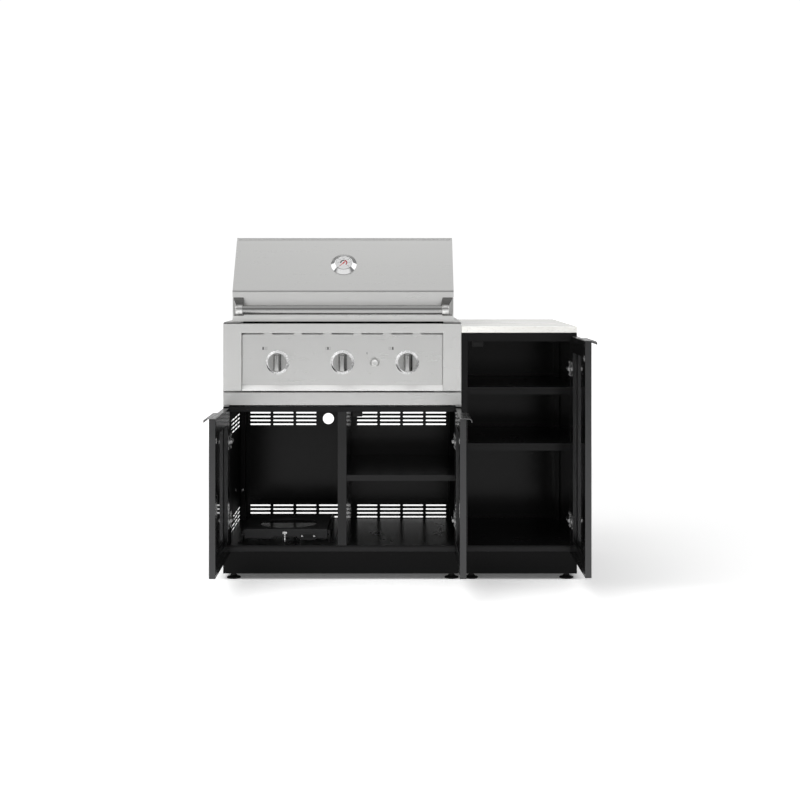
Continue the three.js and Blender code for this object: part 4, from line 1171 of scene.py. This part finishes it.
for tag, cx, lit in zip(("left", "centre", "right"), KNOB_X, (0, 1, 2)):
    at = toward_front(cx, YP, KNOB_Z)
    prof = [(9.5, 0.2), (42.2, 0.2), (42.6, 0.8), (42.3, 1.4), (41.6, 1.6), (33.2, 8.3), (32.0, 8.9), (30.6, 8.6), (29.6, 7.4), (9.5, 7.2)]
    v, f = lathe(prof, 96)
    o = mesh_object(f"bezel_ring_{tag}", v, f, "chrome_soft", "island", "chrome_trim", 14, at=at)
    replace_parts(o, "knob_bezel_" + tag)
    crescent = cone_patch(-96, -158, lambda t: 0.3 + 1.9 * math.sin(math.pi * min(1, t * 1.02)) ** 1.2, r_mid=39.0)
    dot_a = cone_patch(-44.5, -41.5, lambda t: 1.1 * math.sin(math.pi * (0.1 + 0.8 * t)), n=8, r_mid=38.4)
    dot_b = cone_patch(176.5, 179.5, lambda t: 1.1 * math.sin(math.pi * (0.1 + 0.8 * t)), n=8, r_mid=37.4)
    v, f = merge(crescent, dot_a, dot_b)
    mesh_object(f"bezel_marks_{tag}", v, f, "ink", "island", "chrome_trim", 30, at=at)

    # knob: turned blank with a scoop milled from each side, leaving the grip bar
    kat = toward_front(cx, YP - 8.3, KNOB_Z)
    blank = lathe([(0, 0.6), (31.6, 0.6), (32.7, 1.6), (32.7, 24.5), (31.6, 28.5), (29.0, 31.4), (25.0, 32.8), (0, 33.2)], 96)
    knob = plain_mesh(f"control_knob_{tag}_body", blank, at=kat)
    scoops = []
    for sgn in (-1, 1):
        pts = [(sgn * 27.9 + 22 * math.cos(2 * math.pi * i / 72), 39.0 + 22 * math.sin(2 * math.pi * i / 72)) for i in range(72)]
        m = len(pts)
        v = [(a, -40, h) for a, h in pts] + [(a, 40, h) for a, h in pts]
        scoops.append((v, prism_faces(m)))
    cut_out(knob, merge(*scoops), at=kat)
    finish_mesh(knob, "steel_knob", "control_knob_" + tag, "knob_metal", bevel=(0.45, 2, 38))
    shaft = mesh_object(f"control_knob_{tag}_shaft", *lathe([(0, -21.5), (5.6, -21.5), (6, -21), (6, 0.8), (0, 0.8)], 32), "nickel",
                        "control_knob_" + tag, "knob_metal", 35, at=kat)
    line = slab(rounded_rect(-0.9, 0.9, 12, 27, 0.8, 3), 32.4, 33.35)
    mesh_object(f"control_knob_{tag}_pointer", *line, "ink_grey", "control_knob_" + tag, "knob_metal", 35, at=kat)
    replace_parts(knob, "knob_" + tag)
    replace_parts(shaft, "knob_" + tag)

    # burner marks on the panel: three upright dashes, the burner's own one filled dark
    pat = toward_front(cx - 51 + (2 - lit) * 0.0, 18.0, 812.6)
    full, open_ = [], []
    for k in range(3):
        a = (k - lit) * 6.2
        dash = rounded_rect(a - 2.2, a + 2.2, -5.2, 5.2, 1.2, 3)
        if k == lit:
            full.append(slab(dash, -0.2, 0.12))
        else:
            inner = rounded_rect(a - 1.6, a + 1.6, -4.6, 4.6, 0.8, 3)
            m = len(dash)
            v = [(p[0], p[1], -0.2) for p in dash] + [(p[0], p[1], -0.2) for p in inner] + \
                [(p[0], p[1], 0.12) for p in dash] + [(p[0], p[1], 0.12) for p in inner]
            f = []
            for i in range(m):
                j = (i + 1) % m
                f += [[i, j, m + j, m + i], [2 * m + i, 3 * m + i, 3 * m + j, 2 * m + j], [i, 2 * m + i, 2 * m + j, j], [m + i, m + j, 3 * m + j, 3 * m + i]]
            open_.append((v, f))
    mesh_object(f"burner_mark_{tag}", *merge(*full), "ink", "island", "stainless", 35, at=pat)
    mesh_object(f"burner_mark_{tag}_outline", *merge(*open_), "ink_grey", "island", "stainless", 35, at=pat)

iat = toward_front(533, 17.7, KNOB_Z)
v, f = lathe([(13.0, 0.1), (16.6, 0.1), (17.0, 0.6), (16.6, 1.4), (14.6, 2.6), (13.4, 2.5), (13.0, 1.9)], 72)
mesh_object("igniter_ring", v, f, "steel", "island", "stainless", 35, at=iat)
v, f = lathe([(0, -20), (5, -20), (5, 5.2), (11.6, 5.4), (12.5, 6.2), (12.5, 11.4), (11.8, 12.5), (10.4, 13.0), (7.5, 12.4), (0, 11.6)], 72)
o = mesh_object("igniter_cap", v, f, "steel", "igniter", "chrome_trim", 32, at=iat)
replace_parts(o, "igniter_button")
bolt = [(-1.6, 5.0), (1.9, 5.0), (0.4, 0.9), (2.4, 0.9), (-1.3, -5.2), (-0.2, -0.6), (-2.3, -0.6)]
mesh_object("igniter_mark", *slab(bolt, -0.2, 0.12), "ink_grey", "island", "stainless", 35, at=toward_front(506, 18.0, 794))

# ---------------------------------------------------------------- firebox lining, grease channel sheet, rear pivots
walls = [box(61.7, 776.3, 86.55, 86.95, 862.4, 896), box(61.7, 776.3, 528.05, 528.45, 862.4, 904),
         box(61.55, 61.95, 87, 528, 862.4, 904), box(776.05, 776.45, 87, 528, 862.4, 904)]
mesh_object("firebox_lining", *merge(*walls), "soot", "island", "grate_iron", 35)
# painted shade: a thin dark sheet across the trough behind the fascia's top stands for the shade there
mesh_object("grease_channel_shade_sheet", *box(2.2, 835.8, 23, 84.6, 881.7, 882.6), "soot", "island", "grate_iron", bevel=(0.3, 2, 40))
for tag, x0, x1 in (("left", 16.0, 23.4), ("right", 814.6, 822.0)):
    post = prism("x", fillet([(540, 905.6), (584, 905.6), (582, 936), (572, 944), (562, 936)], 5, 5), x0, x0 + 2.4 if tag == "left" else x1)
    if tag == "right":
        post = prism("x", fillet([(540, 905.6), (584, 905.6), (582, 936), (572, 944), (562, 936)], 5, 5), x1 - 2.4, x1)
    pin = lathe([(0, x0), (5, x0), (5, x1), (0, x1)], 32)
    pin = [(h, 572 + a, 925 + b) for a, b, h in pin[0]], pin[1]
    mesh_object("hood_pivot_" + tag, *merge(post, pin), "steel", "island", "stainless", bevel=(0.4, 2, 40))

# ---------------------------------------------------------------- gas bottle tray
tray = plain_mesh("bottle_tray_pan", box(70, 364, 50, 366, 136, 170))
cut_out(tray, merge(box(71.5, 362.5, 51.5, 364.5, 130, 168.5)))
cut_out(tray, merge(box(74, 360, 362, 367, 130, 138)))
cut_out(tray, prism("z", ring(102, 96, 218, 166), 165, 172))
cut_out(tray, prism("y", rounded_rect(168, 258, 130, 142, 4), 48, 53))
finish_mesh(tray, "powder_dark", "bottle_tray", "powder_coat", bevel=(0.5, 2, 40))
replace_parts(tray, "tank_tray")
lip_path = lathe([(102.3, 165.5), (103.8, 165.5), (103.8, 170.4), (102.9, 171.2), (101.6, 170.8), (101.4, 166.0)], 96)
mesh_object("bottle_tray_hole_rim", [(218 + a, 166 + b, h) for a, b, h in lip_path[0]], lip_path[1], "powder_dark", "bottle_tray", "powder_coat", 35)
# oval finger plate with two bolts
plate_at = toward_front(295.6, 49.9, 144.4)
v, f = merge(slab(rounded_rect(-30, 30, -13.5, 13.5, 13.2, 8), 0.1, 1.6))
mesh_object("bottle_tray_pull_plate", v, f, "powder_dark", "bottle_tray", "powder_coat", bevel=(0.5, 2, 40), at=plate_at)
# painted shade: a flat dark slab on the plate stands for the shade inside its finger recess
v, f = merge(slab(rounded_rect(-17, 17, -7, 7, 6.8, 8), 1.6, 1.9))
mesh_object("bottle_tray_pull_recess_shade", v, f, "rubber", "bottle_tray", "powder_coat", 35, at=plate_at)
for tag, a in (("left", -21.5), ("right", 21.5)):
    v, f = screw_head(4.6, 3.2, 28)
    mesh_object("bottle_tray_bolt_" + tag, *moved((v, f), a, 0, 1.6), "nickel", "bottle_tray", "hinge_steel", 35, at=plate_at)
# thumb latch: winged head on a pivot, tapering tail
lat = toward_front(213.3, 49.6, 158.0)
head = slab(fillet([(-8, -5.5), (-8, 2.5), (-3, 2.5), (0, 0.5), (3, 2.5), (8, 2.5), (8, -5.5), (0, -3.5)], 2.2, 5), 2.6, 4.8)
tail = slab(fillet([(-2.6, -2), (2.6, -2), (2.2, -22), (1.5, -32.5), (-1.5, -32.5), (-2.2, -22)], 1.0, 5), 2.2, 4.0)
boss = lathe([(0, 0), (4.2, 0), (4.2, 5.4), (3.4, 6.0), (0, 6.0)], 32)
stud = moved(screw_head(4.6, 3.0, 28), 0, -13.6, 3.6)
o = mesh_object("bottle_tray_thumb_latch", *merge(head, tail, boss, stud), "nickel", "bottle_tray_latch", "chrome_trim", bevel=(0.4, 2, 45), at=lat)
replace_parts(o, "tray_latch")
